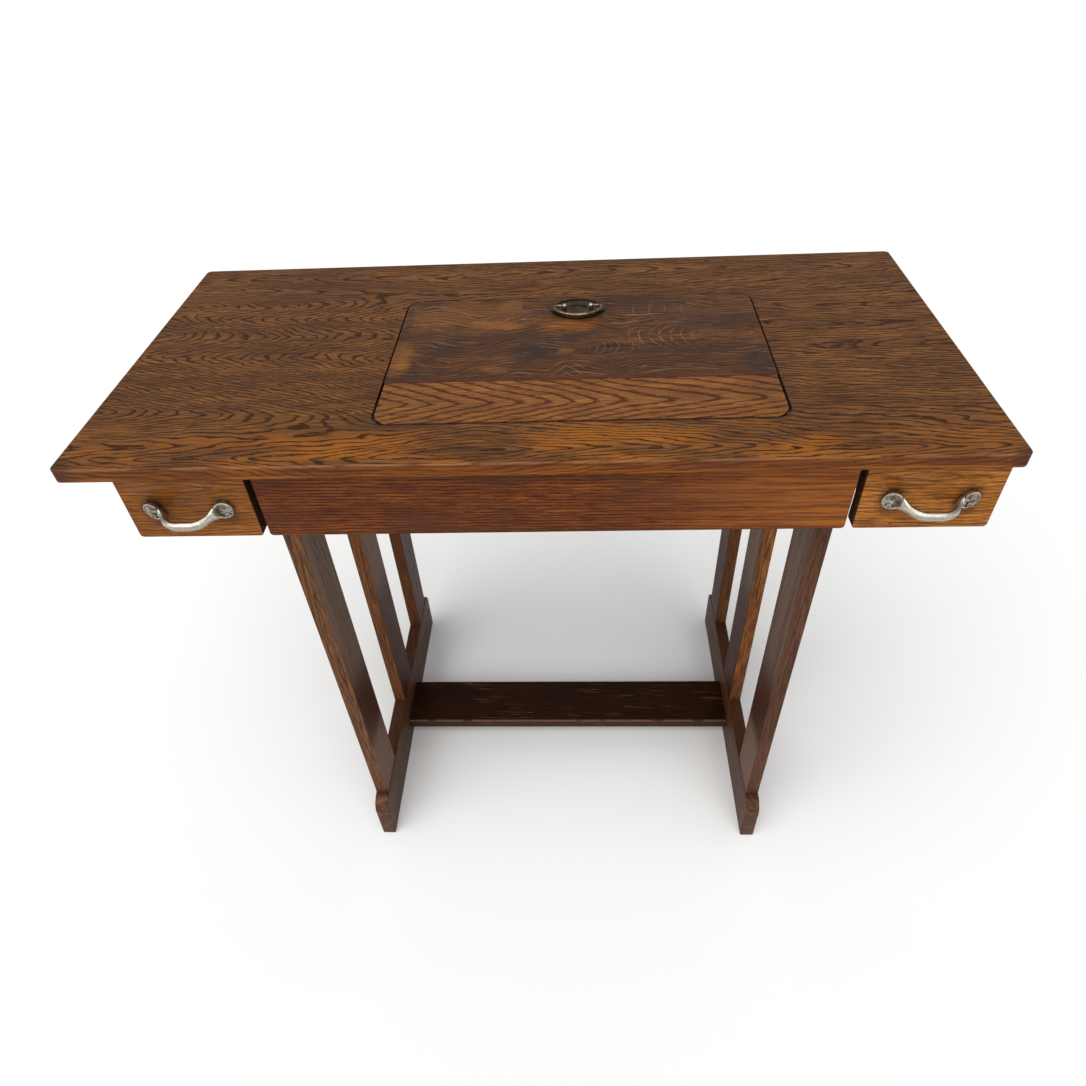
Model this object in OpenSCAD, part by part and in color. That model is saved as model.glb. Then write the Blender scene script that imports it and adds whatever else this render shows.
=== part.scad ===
// Oak sewing table. The top has an inset lid that lifts out by a bail pull and a narrow flap in
// front of it that drops on hinges. Two small drawers hang under the ends of the top, and the
// base is a pair of slatted end frames on long feet, joined by aprons and a low foot board.

/* [Top] */
// Height from the floor to the face of the top
table_h = 762; // [630:1:920]
// Width of the top from side to side
top_w = 962; // [900:1:1160]
// Depth of the top from front to back
top_d = 470; // [440:1:570]
// Thickness of the top, the lid and the flap
top_t = 16.5; // [13.5:0.5:20]
// Radius of the top's corners, seen from above
top_r = 7; // [2:0.5:15]
// How far the base stands to the right of the middle of the top
base_shift = 22; // [-22:1:22]

/* [Lid and flap] */
// Width of the opening in the top
opening_w = 441.5; // [360:0.5:450]
// Depth of the opening from front to back
opening_d = 286; // [230:1:340]
// Radius of the opening's corners
opening_r = 20; // [12:0.5:26]
// How far the opening's middle stands to the right of the middle of the top
opening_shift = 52; // [0:1:54]
// Width of the top between its front edge and the opening
front_margin = 68.5; // [55:0.5:80]
// Depth of the flap, from the front of the opening to the joint with the lid
flap_d = 83.5; // [65:0.5:84]
// Gap at each side of the lid
lid_gap = 1.6; // [1:0.1:3]
// Gap behind the lid
lid_rear_gap = 0.8; // [0.5:0.1:2]
// Gap at each side of the flap
flap_gap = 2.8; // [1.5:0.1:4]
// Gap in front of the flap
flap_front_gap = 1.6; // [1:0.1:2.4]
// Radius of the flap's front corners
flap_r = 22; // [12:0.5:26]
// Gap between the lid and the swing of the flap
joint_gap = 0.8; // [0.7:0.1:1.5]

/* [Lid ledges] */
// Width of the ledge strips screwed under the top round the opening
ledge_w = 34; // [28:1:40]
// Thickness of the ledge strips
ledge_t = 14; // [10:0.5:18]
// How far the ledges reach under the lid
ledge_seat = 12; // [8:0.5:16]

/* [Flap hinges] */
// Length of each butt hinge along its pin
hinge_l = 50; // [40:1:62]
// Width of one hinge leaf
leaf_d = 20; // [16:0.5:24]
// Thickness of the hinge leaves
leaf_t = 1.6; // [1.2:0.1:2]
// Radius of the hinge knuckles
knuckle_r = 3; // [2.5:0.1:3.5]
// Length of each of the two knuckles on the fixed leaf
knuckle_l = 14; // [10:0.5:16]
// Radius of the hinge pins
hinge_pin_r = 1.5; // [1:0.1:1.8]
// Running clearance round the hinge pins
pin_clear = 0.05; // [0.02:0.01:0.1]
// Distance of each hinge from the middle of the flap
hinge_spread = 140; // [90:1:150]
// Distance of the hinge screws from the pin
leaf_screw_y = 12.4; // [10:0.2:13]
// Distance of the hinge screws from the middle of the hinge
leaf_screw_x = 16.5; // [12:0.5:18]

/* [Bail pull] */
// Half of the oval plate's length
plate_a = 34.2; // [32:0.2:42]
// Half of the oval plate's width
plate_b = 26; // [24:0.2:30]
// Radius of the oval plate's ends
plate_end_r = 17; // [14:0.5:20]
// Thickness of the plate
plate_t = 2; // [1.5:0.1:3]
// Height of the plate's rim above its face
rim_h = 1; // [0.5:0.1:1.2]
// Width of the plate's rim
rim_w = 3; // [2:0.1:4]
// Distance of the pull from the rear edge of the lid
pull_inset = 35; // [28:1:60]
// Distance of each bail post from the middle of the plate
post_x = 16.5; // [14:0.5:18]
// Radius of the ball on each bail post
post_ball_r = 3.4; // [3:0.1:3.6]
// Radius of the post's shank through the lid
post_shank_r = 2; // [1.5:0.1:2.4]
// Radius of the bail's wire
bail_r = 2; // [1.6:0.1:2.2]
// Half of the bail's width, to the middle of the wire
bail_a = 29.5; // [28:0.5:33]
// Reach of the bail in front of its posts, to the middle of the wire
bail_b = 25; // [22:0.5:28]
// Radius of the bends next to the posts
bail_elbow_r = 5; // [4:0.5:6]
// Radius of the bends at the bail's front corners
bail_corner_r = 12; // [10:0.5:14]

/* [Base] */
// How far the aprons and drawer fronts stand back from the edge of the top
apron_setback = 12; // [6:0.5:20]
// Height of the aprons
apron_h = 86; // [80:0.5:104]
// Thickness of the aprons
apron_t = 15; // [12:0.5:20]
// How far each apron runs past the end frames
apron_lap = 5; // [0:0.5:8]
// Radius of the lower corners of the aprons and drawer fronts
front_corner_r = 4; // [1:0.5:8]
// Thickness of the legs and top rails of the end frames
leg_t = 19.5; // [16:0.5:24]
// Width of each leg from front to back
leg_w = 63.5; // [52:0.5:77]
// Height of the feet
foot_h = 89.5; // [70:0.5:108]
// Thickness of the feet
foot_t = 20.5; // [18:0.5:25]
// How far each foot runs past the legs at the front and the back
foot_toe = 23.5; // [15:0.5:27]
// Radius of the feet's upper corners
foot_r = 22; // [10:0.5:30]
// Width of the foot board
stretcher_w = 87; // [70:1:105]
// Thickness of the foot board
stretcher_t = 19; // [15:0.5:23]
// Height of the foot board's upper face
stretcher_top = 44.5; // [36:0.5:60]
// Thickness of the tenons
tenon_t = 8; // [6:0.5:10]
// Length of the tenons
tenon_l = 22; // [10:1:30]
// Shoulder on each edge of a tenon
tenon_shoulder = 9; // [6:0.5:14]
// Clearance round the tenons in their mortises
tenon_clear = 0.15; // [0.1:0.05:0.3]
// Length of the foot board's tenons
stretcher_tenon_l = 11; // [6:0.5:13]
// Side of the square corner blocks
block_w = 28; // [22:1:32]
// Height of the corner blocks
block_h = 36; // [28:1:44]

/* [Drawers] */
// Width of each drawer front
drawer_w = 138; // [115:1:166]
// Mean overhang of the top past the drawer fronts
side_overhang = 28.7; // [24:0.1:60]
// Gap between a drawer front and the apron
drawer_gap = 7.3; // [4:0.1:12]
// Gap between a drawer front and the top
drawer_top_gap = 1; // [0.5:0.1:2]
// Thickness of the drawer fronts
drawer_front_t = 16; // [13:0.5:20]
// Thickness of the drawer sides and backs
drawer_side_t = 10; // [8:0.5:12]
// Length of the drawer sides behind the front
drawer_l = 345; // [290:1:370]
// Height of the drawer sides above the lower edge of the front
box_rise = 4; // [2:0.5:6]
// Thickness of the drawer bottoms
drawer_bottom_t = 4; // [3:0.5:6]
// Height of the drawer bottoms above the lower edge of the front
drawer_bottom_z = 9; // [7:0.5:12]
// Depth of the grooves that hold the sides and the bottoms
groove_d = 5; // [3:0.5:6]
// Clearance in those grooves
groove_clear = 0.15; // [0.1:0.05:0.3]
// Width of the slide strips along the drawer's upper edges
slide_w = 8; // [6:0.5:10]
// Height of the slide strips
slide_h = 8; // [6:0.5:10]
// How much shorter the slide strips are than the drawer sides
slide_inset = 30; // [10:1:60]
// Gap between the slide strips and the top
slide_top_gap = 1.5; // [1:0.1:3]
// Thickness of the hangers' upright part
hanger_web = 10; // [9:0.5:12]
// Thickness of the hangers' lip
hanger_lip_t = 9; // [7:0.5:12]
// Sideways play between a drawer and its hangers
drawer_play = 0.5; // [0.4:0.1:1]
// How far the hangers stand in from the edges of the drawer front
hanger_reveal = 1; // [0.5:0.5:3]
// How far a drawer pulls out
drawer_travel = 240; // [180:1:260]
// Length of the drawer stops
stop_l = 20; // [14:1:30]
// Width of the drawer stops
stop_w = 50; // [30:1:60]
// Height of the drawer stops
stop_h = 14; // [12:0.5:18]

/* [Handles] */
// Distance between the two screws of a handle
handle_pitch = 76; // [64:1:90]
// How far a handle stands out from the drawer front
handle_reach = 27; // [22:0.5:34]
// Radius of the handle's bow
bow_r = 4.2; // [3:0.1:5]
// Half of the straight part of the bow
bow_half = 11; // [8:0.5:16]
// Radius of the bends in the bow
bow_bend_r = 13; // [10:0.5:16]
// Angle of the bends in the bow
bow_bend = 60; // [50:1:70]
// Radius of the bow where its flared ends meet the end plates
bow_flare_r = 5.2; // [4.5:0.1:5.6]
// Step where a flared end begins
bow_step = 0.2; // [0.1:0.1:0.4]
// How far the bow hangs below the screws
bow_drop = 5; // [2:0.5:8]
// Thickness of the handle's end plates
handle_plate_t = 2.4; // [2:0.1:4]
// Radius of the upper lobe of an end plate, round the screw
handle_lobe_r = 8.5; // [7:0.1:10]
// Radius of the lower lobe of an end plate
handle_low_lobe_r = 7.5; // [6:0.1:9]
// Distance of the lower lobe below the screw
handle_low_lobe_z = 9.5; // [7:0.5:12]
// Distance of the lower lobe outside the screw
handle_low_lobe_x = 1.5; // [0:0.5:3]
// Width of the collar where the bow meets an end plate
handle_collar = 1.6; // [1.2:0.1:2]

/* [Screws] */
// Radius of the heads of the structural screws
screw_head_r = 3.6; // [3:0.1:4]
// Radius of the shanks of the structural screws
screw_r = 1.8; // [1.5:0.1:2.2]
// Depth that the structural screws reach into the top
screw_bite = 9; // [6:0.5:11]
// Distance of the end screws from the ends of the ledges and hangers
screw_inset = 28; // [20:1:40]
// Radius of the heads of the small screws in hinges and handles
small_head_r = 2.9; // [2.5:0.1:3.2]
// Radius of the shanks of the small screws
small_screw_r = 1.4; // [1.2:0.1:1.6]
// Depth that the small screws reach into the wood
small_bite = 10; // [7:0.5:12]
// Clearance round a screw in its hole
screw_clear = 0.1; // [0.05:0.05:0.2]
// Width of the screw slots
slot_w = 0.8; // [0.5:0.1:1.2]
// Depth of the screw slots
slot_d = 0.7; // [0.4:0.1:1]
// Radius of the blunt points of the screws
screw_tip_r = 0.3; // [0.2:0.1:0.6]

/* [Hidden] */
$fn = 64;

// A cutting solid runs this far past the face that it opens
over = 1;
// Overlap of cutting solids that must not leave a skin between them
skin = 0.01;
// Room past the point of a screw
point_room = 0.3;
// Gap round turning parts and at stops
rest_gap = 0.4;
// Signs of the two sides
left = -1;
right = 1;

// The top is drawn about its own middle, then moved back by half of what the handles stand out in
// front of it, so that the origin is the middle of the whole table on the floor
top_y = (handle_reach - apron_setback) / 2;
under_top = table_h - top_t;
apron_z = under_top - apron_h;

// Plan of the base, about its own middle
front_y = -top_d / 2 + apron_setback;
leg_y = -front_y - apron_t;
drawer_edge_x = top_w / 2 - side_overhang;
drawer_x = drawer_edge_x - drawer_w / 2;
apron_l = 2 * (drawer_edge_x - drawer_w - drawer_gap);
frame_x = apron_l / 2 - apron_lap;
foot_inner_x = frame_x - leg_t / 2 - foot_t / 2;
leg_l = apron_z - foot_h;
leg_places = [-leg_y + leg_w / 2, 0, leg_y - leg_w / 2];
leg_tenon_w = leg_w - 2 * tenon_shoulder;
stretcher_tenon_w = stretcher_w - 2 * tenon_shoulder;

// Opening in the top, lid and flap, about the middle of the top
opening_front = -top_d / 2 + front_margin;
opening_rear = opening_front + opening_d;
hinge_y = opening_front + flap_front_gap / 2;
hinge_drop = knuckle_r + rest_gap;
hinge_z = under_top - hinge_drop;
face_rise = hinge_drop + top_t;
flap_edge = flap_d - flap_front_gap / 2 - joint_gap / 2;
swing_r = sqrt(flap_edge * flap_edge + face_rise * face_rise);
clear_r = swing_r + joint_gap;
flap_low_edge = sqrt(swing_r * swing_r - hinge_drop * hinge_drop);
lid_top_edge = sqrt(clear_r * clear_r - face_rise * face_rise);
lid_low_edge = sqrt(clear_r * clear_r - hinge_drop * hinge_drop);
knuckle_gap = 0.3;
moving_knuckle_l = hinge_l - 2 * knuckle_l - 2 * knuckle_gap;

// Ledges under the opening
ledge_front = hinge_y + lid_low_edge + rest_gap / 2;
ledge_back = opening_rear - ledge_seat + ledge_w;
rear_ledge_half = opening_w / 2 - ledge_seat;

// Bail pull
pull_y = opening_rear - lid_rear_gap - pull_inset;
bail_z = table_h + plate_t + rim_h + bail_r + rest_gap;
bail_pin_r = 1.5;
bail_c = bail_a - bail_corner_r;
bail_rise = bail_b - bail_elbow_r;
bail_k = (bail_c * bail_c - pow(bail_rise - bail_corner_r, 2)) / (2 * (bail_rise - bail_corner_r));
bail_turn = atan(bail_k / bail_c);
bail_pin_end = 0.4;
bail_shoulder = post_x + post_ball_r + 0.7;
bail_collar_r = bail_r + 0.12;
bail_collar_l = 0.8;
bail_short = 0.1;
post_neck_r = post_shank_r + 0.6;
nut_r = 4;
nut_t = 3;
dish_end_r = 7;
dish_a = post_x - post_shank_r - 2.5;
dish_b = plate_b / 2 - 3;

// Drawers, about the middle of the drawer front
drawer_front_h = apron_h - drawer_top_gap;
box_half = drawer_w / 2 - hanger_reveal - hanger_web - drawer_play - slide_w;
slide_top = under_top - slide_top_gap;
hanger_h = slide_top_gap + slide_h + hanger_lip_t;
box_z = apron_z + box_rise;
box_back = front_y + drawer_front_t + drawer_l;
bottom_z = apron_z + drawer_bottom_z;
back_top = under_top - stop_h / 2;
hanger_front = front_y + drawer_front_t;
hanger_back = box_back + hanger_web;
stop_back = box_back - drawer_side_t - drawer_travel - rest_gap;
hanger_screw_x = box_half + slide_w + drawer_play + hanger_web / 2;
hanger_screw_places = [hanger_front + screw_inset, (hanger_front + hanger_back) / 2,
    hanger_back - screw_inset];

// Handles, about the middle of the drawer front
handle_z = apron_z + drawer_front_h / 2;
bow_out = handle_reach - bow_r;
bend_end_x = bow_half + bow_bend_r * sin(bow_bend);
bend_end_out = bow_out - bow_bend_r * (1 - cos(bow_bend));
bow_leg_l = bend_end_out / sin(bow_bend) + bow_flare_r;
bow_root_x = bend_end_x + bend_end_out / tan(bow_bend);

// Moves what is drawn about the middle of the top to its place
module place() {
    translate([0, top_y, 0]) children();
}

// Moves what is drawn about the middle of the base, for the left or right side. What is drawn
// for the right side is mirrored for the left side.
module at_side(side) {
    place() translate([base_shift, 0, 0]) mirror([side == left ? 1 : 0, 0, 0]) children();
}

// Moves what is drawn about the middle of a drawer, with X outwards
module at_drawer(side) {
    at_side(side) translate([drawer_x, 0, 0]) children();
}

// Moves what is drawn about the middle of the opening's width
module at_opening() {
    place() translate([opening_shift, 0, 0]) children();
}

// Rectangle with four round corners, from the corner (x0, y0) to the corner (x1, y1)
module round_rect(x0, y0, x1, y1, r) {
    translate([x0 + r, y0]) square([x1 - x0 - 2 * r, y1 - y0]);
    translate([x0, y0 + r]) square([x1 - x0, y1 - y0 - 2 * r]);
    for (x = [x0 + r, x1 - r], y = [y0 + r, y1 - r]) translate([x, y]) circle(r);
}

// Oval of four arcs with half axes a and b and end radius r
module oval(a, b, r) {
    c = a - r;
    k = (c * c - pow(b - r, 2)) / (2 * (b - r));
    big = b + k;
    tip = c + r * c / sqrt(c * c + k * k);
    for (s = [-1, 1]) translate([s * c, 0]) circle(r);
    intersection() {
        translate([0, -k]) circle(big, $fn = 160);
        translate([0, k]) circle(big, $fn = 160);
        square([2 * tip, 4 * b], center = true);
    }
}

// Board seen from the front, centred on x = 0, with round lower corners, from y to y + t
module front_board(w, z, h, y, t, r) {
    translate([0, y + t, 0]) rotate([90, 0, 0]) linear_extrude(t) {
        translate([-w / 2, z + r]) square([w, h - r]);
        translate([-w / 2 + r, z]) square([w - 2 * r, h]);
        for (x = [-w / 2 + r, w / 2 - r]) translate([x, z + r]) circle(r);
    }
}

// Countersunk screw with its slotted head at z = 0 and its point upwards
module screw(head_r, shank_r, length) {
    difference() {
        union() {
            cylinder(r1 = head_r, r2 = shank_r, h = head_r - shank_r);
            cylinder(r = shank_r, h = length - shank_r);
            translate([0, 0, length - shank_r]) cylinder(r1 = shank_r, r2 = screw_tip_r, h = shank_r);
        }
        translate([-head_r, -slot_w / 2, -over]) cube([2 * head_r, slot_w, over + slot_d]);
    }
}

// Hole for such a screw
module screw_hole(head_r, shank_r, length) {
    r = shank_r + screw_clear;
    translate([0, 0, -over]) cylinder(r = r, h = length + over + point_room);
    cylinder(r1 = head_r + screw_clear, r2 = r, h = head_r - shank_r);
    translate([0, 0, -over]) cylinder(r = head_r + screw_clear, h = over + skin);
}

// Places of the screws that go up into the top, with the height of each head below the top
module at_block_screws() {
    for (side = [left, right], end = [-1, 1]) {
        at_side(side) translate([frame_x - leg_t - block_w / 2, end * (leg_y - block_w / 2), 0])
            children();
    }
}

module at_ledge_screws() {
    side_x = opening_w / 2 + (ledge_w - ledge_seat) / 2;
    for (s = [-1, 1], y = [ledge_front + screw_inset, opening_rear - screw_inset]) {
        at_opening() translate([s * side_x, y, 0]) children();
    }
    for (s = [-1, 1]) {
        at_opening() translate([s * rear_ledge_half / 2, opening_rear + (ledge_w - ledge_seat) / 2, 0])
            children();
    }
}

module at_hanger_screws(side, s) {
    for (y = hanger_screw_places) at_drawer(side) translate([s * hanger_screw_x, y, 0]) children();
}

module at_hinges() {
    for (s = [-1, 1]) at_opening() translate([s * hinge_spread, hinge_y, 0]) children();
}

module at_leaf_screws(dir) {
    for (s = [-1, 1]) {
        at_hinges() translate([s * leaf_screw_x, dir * leaf_screw_y, under_top - leaf_t]) children();
    }
}

// Pilot hole in the underside of the top for a screw of the given radius and depth
module pilot(r, depth) {
    translate([0, 0, under_top - over]) cylinder(r = r + screw_clear, h = depth + over + point_room);
}

// Top: one wide board of edge-glued oak with the opening cut through it
module table_top() {
    color("sienna") difference() {
        place() translate([0, 0, under_top]) linear_extrude(top_t) difference() {
            round_rect(-top_w / 2, -top_d / 2, top_w / 2, top_d / 2, top_r);
            round_rect(opening_shift - opening_w / 2, opening_front,
                opening_shift + opening_w / 2, opening_rear, opening_r);
        }
        at_block_screws() pilot(screw_r, screw_bite);
        at_ledge_screws() pilot(screw_r, screw_bite);
        for (side = [left, right], s = [-1, 1]) at_hanger_screws(side, s) pilot(screw_r, screw_bite);
        at_leaf_screws(-1) translate([0, 0, leaf_t - over])
            cylinder(r = small_screw_r + screw_clear, h = small_bite + over + point_room);
    }
}

// Aprons: boards screwed across the ends of the end frames
module apron(y) {
    translate([base_shift, 0, 0]) front_board(apron_l, apron_z, apron_h, y, apron_t, front_corner_r);
}

module front_apron() {
    color("saddlebrown") place() apron(front_y);
}

module rear_apron() {
    color("saddlebrown") place() apron(leg_y);
}

// Tenon and its mortise, standing on z = 0 and centred on the leg
module leg_tenon(extra) {
    translate([-tenon_t / 2 - extra, -leg_tenon_w / 2 - extra, 0])
        cube([tenon_t + 2 * extra, leg_tenon_w + 2 * extra, tenon_l + 4 * extra]);
}

// End frame: a top rail, three legs and a foot, drawn for the right side
module leg(y) {
    translate([frame_x - leg_t / 2, y, 0]) {
        translate([-leg_t / 2, -leg_w / 2, foot_h]) cube([leg_t, leg_w, leg_l]);
        translate([0, 0, apron_z]) leg_tenon(0);
        translate([0, 0, foot_h]) mirror([0, 0, 1]) leg_tenon(0);
    }
}

module top_rail() {
    difference() {
        translate([frame_x - leg_t, -leg_y, apron_z]) cube([leg_t, 2 * leg_y, apron_h]);
        for (y = leg_places) translate([frame_x - leg_t / 2, y, apron_z - skin]) leg_tenon(tenon_clear);
    }
}

module foot() {
    foot_l = leg_y + foot_toe;
    difference() {
        translate([foot_inner_x, 0, 0]) rotate([90, 0, 90]) linear_extrude(foot_t) {
            translate([-foot_l, 0]) square([2 * foot_l, foot_h - foot_r]);
            translate([-foot_l + foot_r, 0]) square([2 * (foot_l - foot_r), foot_h]);
            for (s = [-1, 1]) translate([s * (foot_l - foot_r), foot_h - foot_r]) circle(foot_r);
        }
        for (y = leg_places) translate([frame_x - leg_t / 2, y, foot_h + skin]) mirror([0, 0, 1])
            leg_tenon(tenon_clear);
        stretcher_tenons(tenon_clear);
    }
}

module left_top_rail() {
    color("saddlebrown") at_side(left) top_rail();
}

module right_top_rail() {
    color("saddlebrown") at_side(right) top_rail();
}

module left_front_leg() {
    color("peru") at_side(left) leg(leg_places[0]);
}

module left_middle_leg() {
    color("peru") at_side(left) leg(leg_places[1]);
}

module left_rear_leg() {
    color("peru") at_side(left) leg(leg_places[2]);
}

module right_front_leg() {
    color("peru") at_side(right) leg(leg_places[0]);
}

module right_middle_leg() {
    color("peru") at_side(right) leg(leg_places[1]);
}

module right_rear_leg() {
    color("peru") at_side(right) leg(leg_places[2]);
}

module left_foot() {
    color("sienna") at_side(left) foot();
}

module right_foot() {
    color("sienna") at_side(right) foot();
}

// Foot board between the two feet, with a blind tenon at each end
module stretcher_tenons(extra) {
    mid_z = stretcher_top - stretcher_t / 2;
    for (s = [-1, 1]) {
        translate([s * (foot_inner_x + stretcher_tenon_l / 2 - over / 2), 0, mid_z]) cube([
            stretcher_tenon_l + over + 2 * extra,
            stretcher_tenon_w + 2 * extra,
            tenon_t + 2 * extra], center = true);
    }
}

module stretcher() {
    color("saddlebrown") at_side(right) {
        translate([-foot_inner_x, -stretcher_w / 2, stretcher_top - stretcher_t])
            cube([2 * foot_inner_x, stretcher_w, stretcher_t]);
        stretcher_tenons(0);
    }
}

// Corner blocks glued between the rails and the aprons, each with a screw up into the top
module corner_blocks() {
    color("burlywood") difference() {
        at_block_screws() translate([-block_w / 2, -block_w / 2, under_top - block_h])
            cube([block_w, block_w, block_h]);
        at_block_screws() translate([0, 0, under_top - block_h])
            screw_hole(screw_head_r, screw_r, block_h + screw_bite);
    }
}

module corner_block_screws() {
    color("dimgray") at_block_screws() translate([0, 0, under_top - block_h])
        screw(screw_head_r, screw_r, block_h + screw_bite);
}

// Ledges: strips screwed under the top on three sides of the opening, which carry the lid
module ledge_holes() {
    at_ledge_screws() translate([0, 0, under_top - ledge_t])
        screw_hole(screw_head_r, screw_r, ledge_t + screw_bite);
}

module side_ledge(s) {
    x0 = s * (opening_w / 2 - ledge_seat);
    x1 = s * (opening_w / 2 - ledge_seat + ledge_w);
    difference() {
        at_opening() translate([min(x0, x1), ledge_front, under_top - ledge_t])
            cube([ledge_w, ledge_back - ledge_front, ledge_t]);
        ledge_holes();
    }
}

module left_lid_ledge() {
    color("burlywood") side_ledge(-1);
}

module right_lid_ledge() {
    color("burlywood") side_ledge(1);
}

module rear_lid_ledge() {
    color("burlywood") difference() {
        at_opening() translate([-rear_ledge_half, ledge_back - ledge_w, under_top - ledge_t])
            cube([2 * rear_ledge_half, ledge_w, ledge_t]);
        ledge_holes();
    }
}

module ledge_screws() {
    color("dimgray") at_ledge_screws() translate([0, 0, under_top - ledge_t])
        screw(screw_head_r, screw_r, ledge_t + screw_bite);
}

// Hinge leaf on the underside of the boards, drawn about the pin. dir is -1 for the leaf under
// the top and 1 for the leaf under the flap.
module leaf(dir) {
    inner = moving_knuckle_l / 2;
    outer = hinge_l / 2;
    span = knuckle_l;
    relief = knuckle_r + rest_gap;
    difference() {
        union() {
            translate([-outer, dir < 0 ? -leaf_d : 0, hinge_drop - leaf_t]) cube([hinge_l, leaf_d, leaf_t]);
            if (dir < 0) {
                for (x = [-outer, outer - span]) translate([x, 0, 0]) rotate([0, 90, 0])
                    cylinder(r = knuckle_r, h = span);
            } else {
                translate([-inner, 0, 0]) rotate([0, 90, 0]) cylinder(r = knuckle_r, h = 2 * inner);
            }
        }
        if (dir < 0) {
            translate([-inner - knuckle_gap, -relief, -2 * knuckle_r])
                cube([2 * (inner + knuckle_gap), 2 * relief, 4 * knuckle_r]);
        } else {
            for (x = [-outer - over, inner]) translate([x, -relief, -2 * knuckle_r])
                cube([outer - inner + over, 2 * relief, 4 * knuckle_r]);
        }
        translate([-outer - over, 0, 0]) rotate([0, 90, 0])
            cylinder(r = hinge_pin_r + pin_clear, h = hinge_l + 2 * over);
    }
}

module flap_hinge_fixed_leaves() {
    color("darkgoldenrod") difference() {
        at_hinges() translate([0, 0, hinge_z]) leaf(-1);
        at_leaf_screws(-1) screw_hole(small_head_r, small_screw_r, leaf_t + small_bite);
    }
}

module flap_hinge_moving_leaves() {
    color("darkgoldenrod") difference() {
        at_hinges() translate([0, 0, hinge_z]) leaf(1);
        at_leaf_screws(1) screw_hole(small_head_r, small_screw_r, leaf_t + small_bite);
    }
}

module flap_hinge_pins() {
    color("goldenrod") at_hinges() translate([-hinge_l / 2, 0, hinge_z]) rotate([0, 90, 0])
        cylinder(r = hinge_pin_r, h = hinge_l);
}

module flap_hinge_fixed_screws() {
    color("goldenrod") at_leaf_screws(-1) screw(small_head_r, small_screw_r, leaf_t + small_bite);
}

module flap_hinge_moving_screws() {
    color("goldenrod") at_leaf_screws(1) screw(small_head_r, small_screw_r, leaf_t + small_bite);
}

// Flap: the front strip of the closure. Its rear edge leans back so that it swings clear.
module front_flap() {
    half = opening_w / 2 - flap_gap;
    front = flap_front_gap / 2;
    color("peru") difference() {
        at_opening() translate([0, hinge_y, hinge_z]) intersection() {
            translate([-half, 0, 0]) rotate([90, 0, 90]) linear_extrude(2 * half) polygon([
                [front, hinge_drop], [flap_low_edge, hinge_drop],
                [flap_edge, face_rise], [front, face_rise]]);
            linear_extrude(2 * face_rise)
                round_rect(-half, front, half, front + flap_d + 2 * flap_r, flap_r);
        }
        at_leaf_screws(1) translate([0, 0, leaf_t - over])
            cylinder(r = small_screw_r + screw_clear, h = small_bite + over + point_room);
    }
}

// Lid: the rear board of the closure, which lifts out. Its front edge matches the flap's swing.
module lid_board() {
    half = opening_w / 2 - lid_gap;
    rear = opening_rear - lid_rear_gap - hinge_y;
    color("saddlebrown") difference() {
        at_opening() translate([0, hinge_y, hinge_z]) intersection() {
            translate([-half, 0, 0]) rotate([90, 0, 90]) linear_extrude(2 * half) polygon([
                [lid_low_edge, hinge_drop], [rear, hinge_drop],
                [rear, face_rise], [lid_top_edge, face_rise]]);
            linear_extrude(2 * face_rise)
                round_rect(-half, 0, half, rear, opening_r - lid_gap);
        }
        at_posts() translate([0, 0, under_top - over])
            cylinder(r = post_shank_r + 2 * screw_clear, h = top_t + 2 * over);
    }
}

// Bail pull: an oval plate, two posts with nuts under the lid, and the bail
module at_posts() {
    for (s = [-1, 1]) at_opening() translate([s * post_x, pull_y, 0]) children();
}

module pull_plate() {
    color("darkolivegreen") difference() {
        at_opening() translate([0, pull_y, table_h]) difference() {
            linear_extrude(plate_t + rim_h) oval(plate_a, plate_b, plate_end_r);
            translate([0, 0, plate_t]) linear_extrude(rim_h + over)
                oval(plate_a - rim_w, plate_b - rim_w, plate_end_r - rim_w);
            translate([0, 0, plate_t / 2]) linear_extrude(plate_t)
                oval(dish_a, dish_b, dish_end_r);
        }
        at_posts() translate([0, 0, table_h - over])
            cylinder(r = post_shank_r + screw_clear, h = plate_t + 2 * over);
    }
}

module pull_posts() {
    foot_z = table_h + plate_t;
    color("olive") difference() {
        at_posts() {
            translate([0, 0, bail_z]) sphere(post_ball_r);
            translate([0, 0, foot_z]) cylinder(r = post_neck_r, h = bail_z - foot_z);
            translate([0, 0, under_top - nut_t - over])
                cylinder(r = post_shank_r, h = top_t + plate_t + nut_t + 2 * over);
        }
        at_posts() translate([-2 * post_ball_r, 0, bail_z]) rotate([0, 90, 0])
            cylinder(r = bail_pin_r + pin_clear, h = 4 * post_ball_r);
    }
}

module pull_nuts() {
    color("darkgoldenrod") at_posts() translate([0, 0, under_top - nut_t]) difference() {
        cylinder(r = nut_r, h = nut_t, $fn = 6);
        translate([0, 0, -over]) cylinder(r = post_shank_r + pin_clear, h = nut_t + 2 * over);
    }
}

// Part of a ring in the plane of the bail, about the point (x, y). Its ends stop short of the
// middles of the collars.
module bail_arc(x, y, r, from, turn) {
    short = 180 / PI * bail_short / r;
    translate([x, y, 0]) rotate([0, 0, from + short]) rotate_extrude(angle = turn - 2 * short)
        translate([r, 0]) circle(bail_r);
}

// Collar where two stretches of the bail's wire meet. heading is the wire's direction there.
module bail_collar(x, y, heading) {
    translate([x, y, 0]) rotate([0, 0, heading]) rotate([0, 90, 0])
        cylinder(r = bail_collar_r, h = bail_collar_l, center = true);
}

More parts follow.
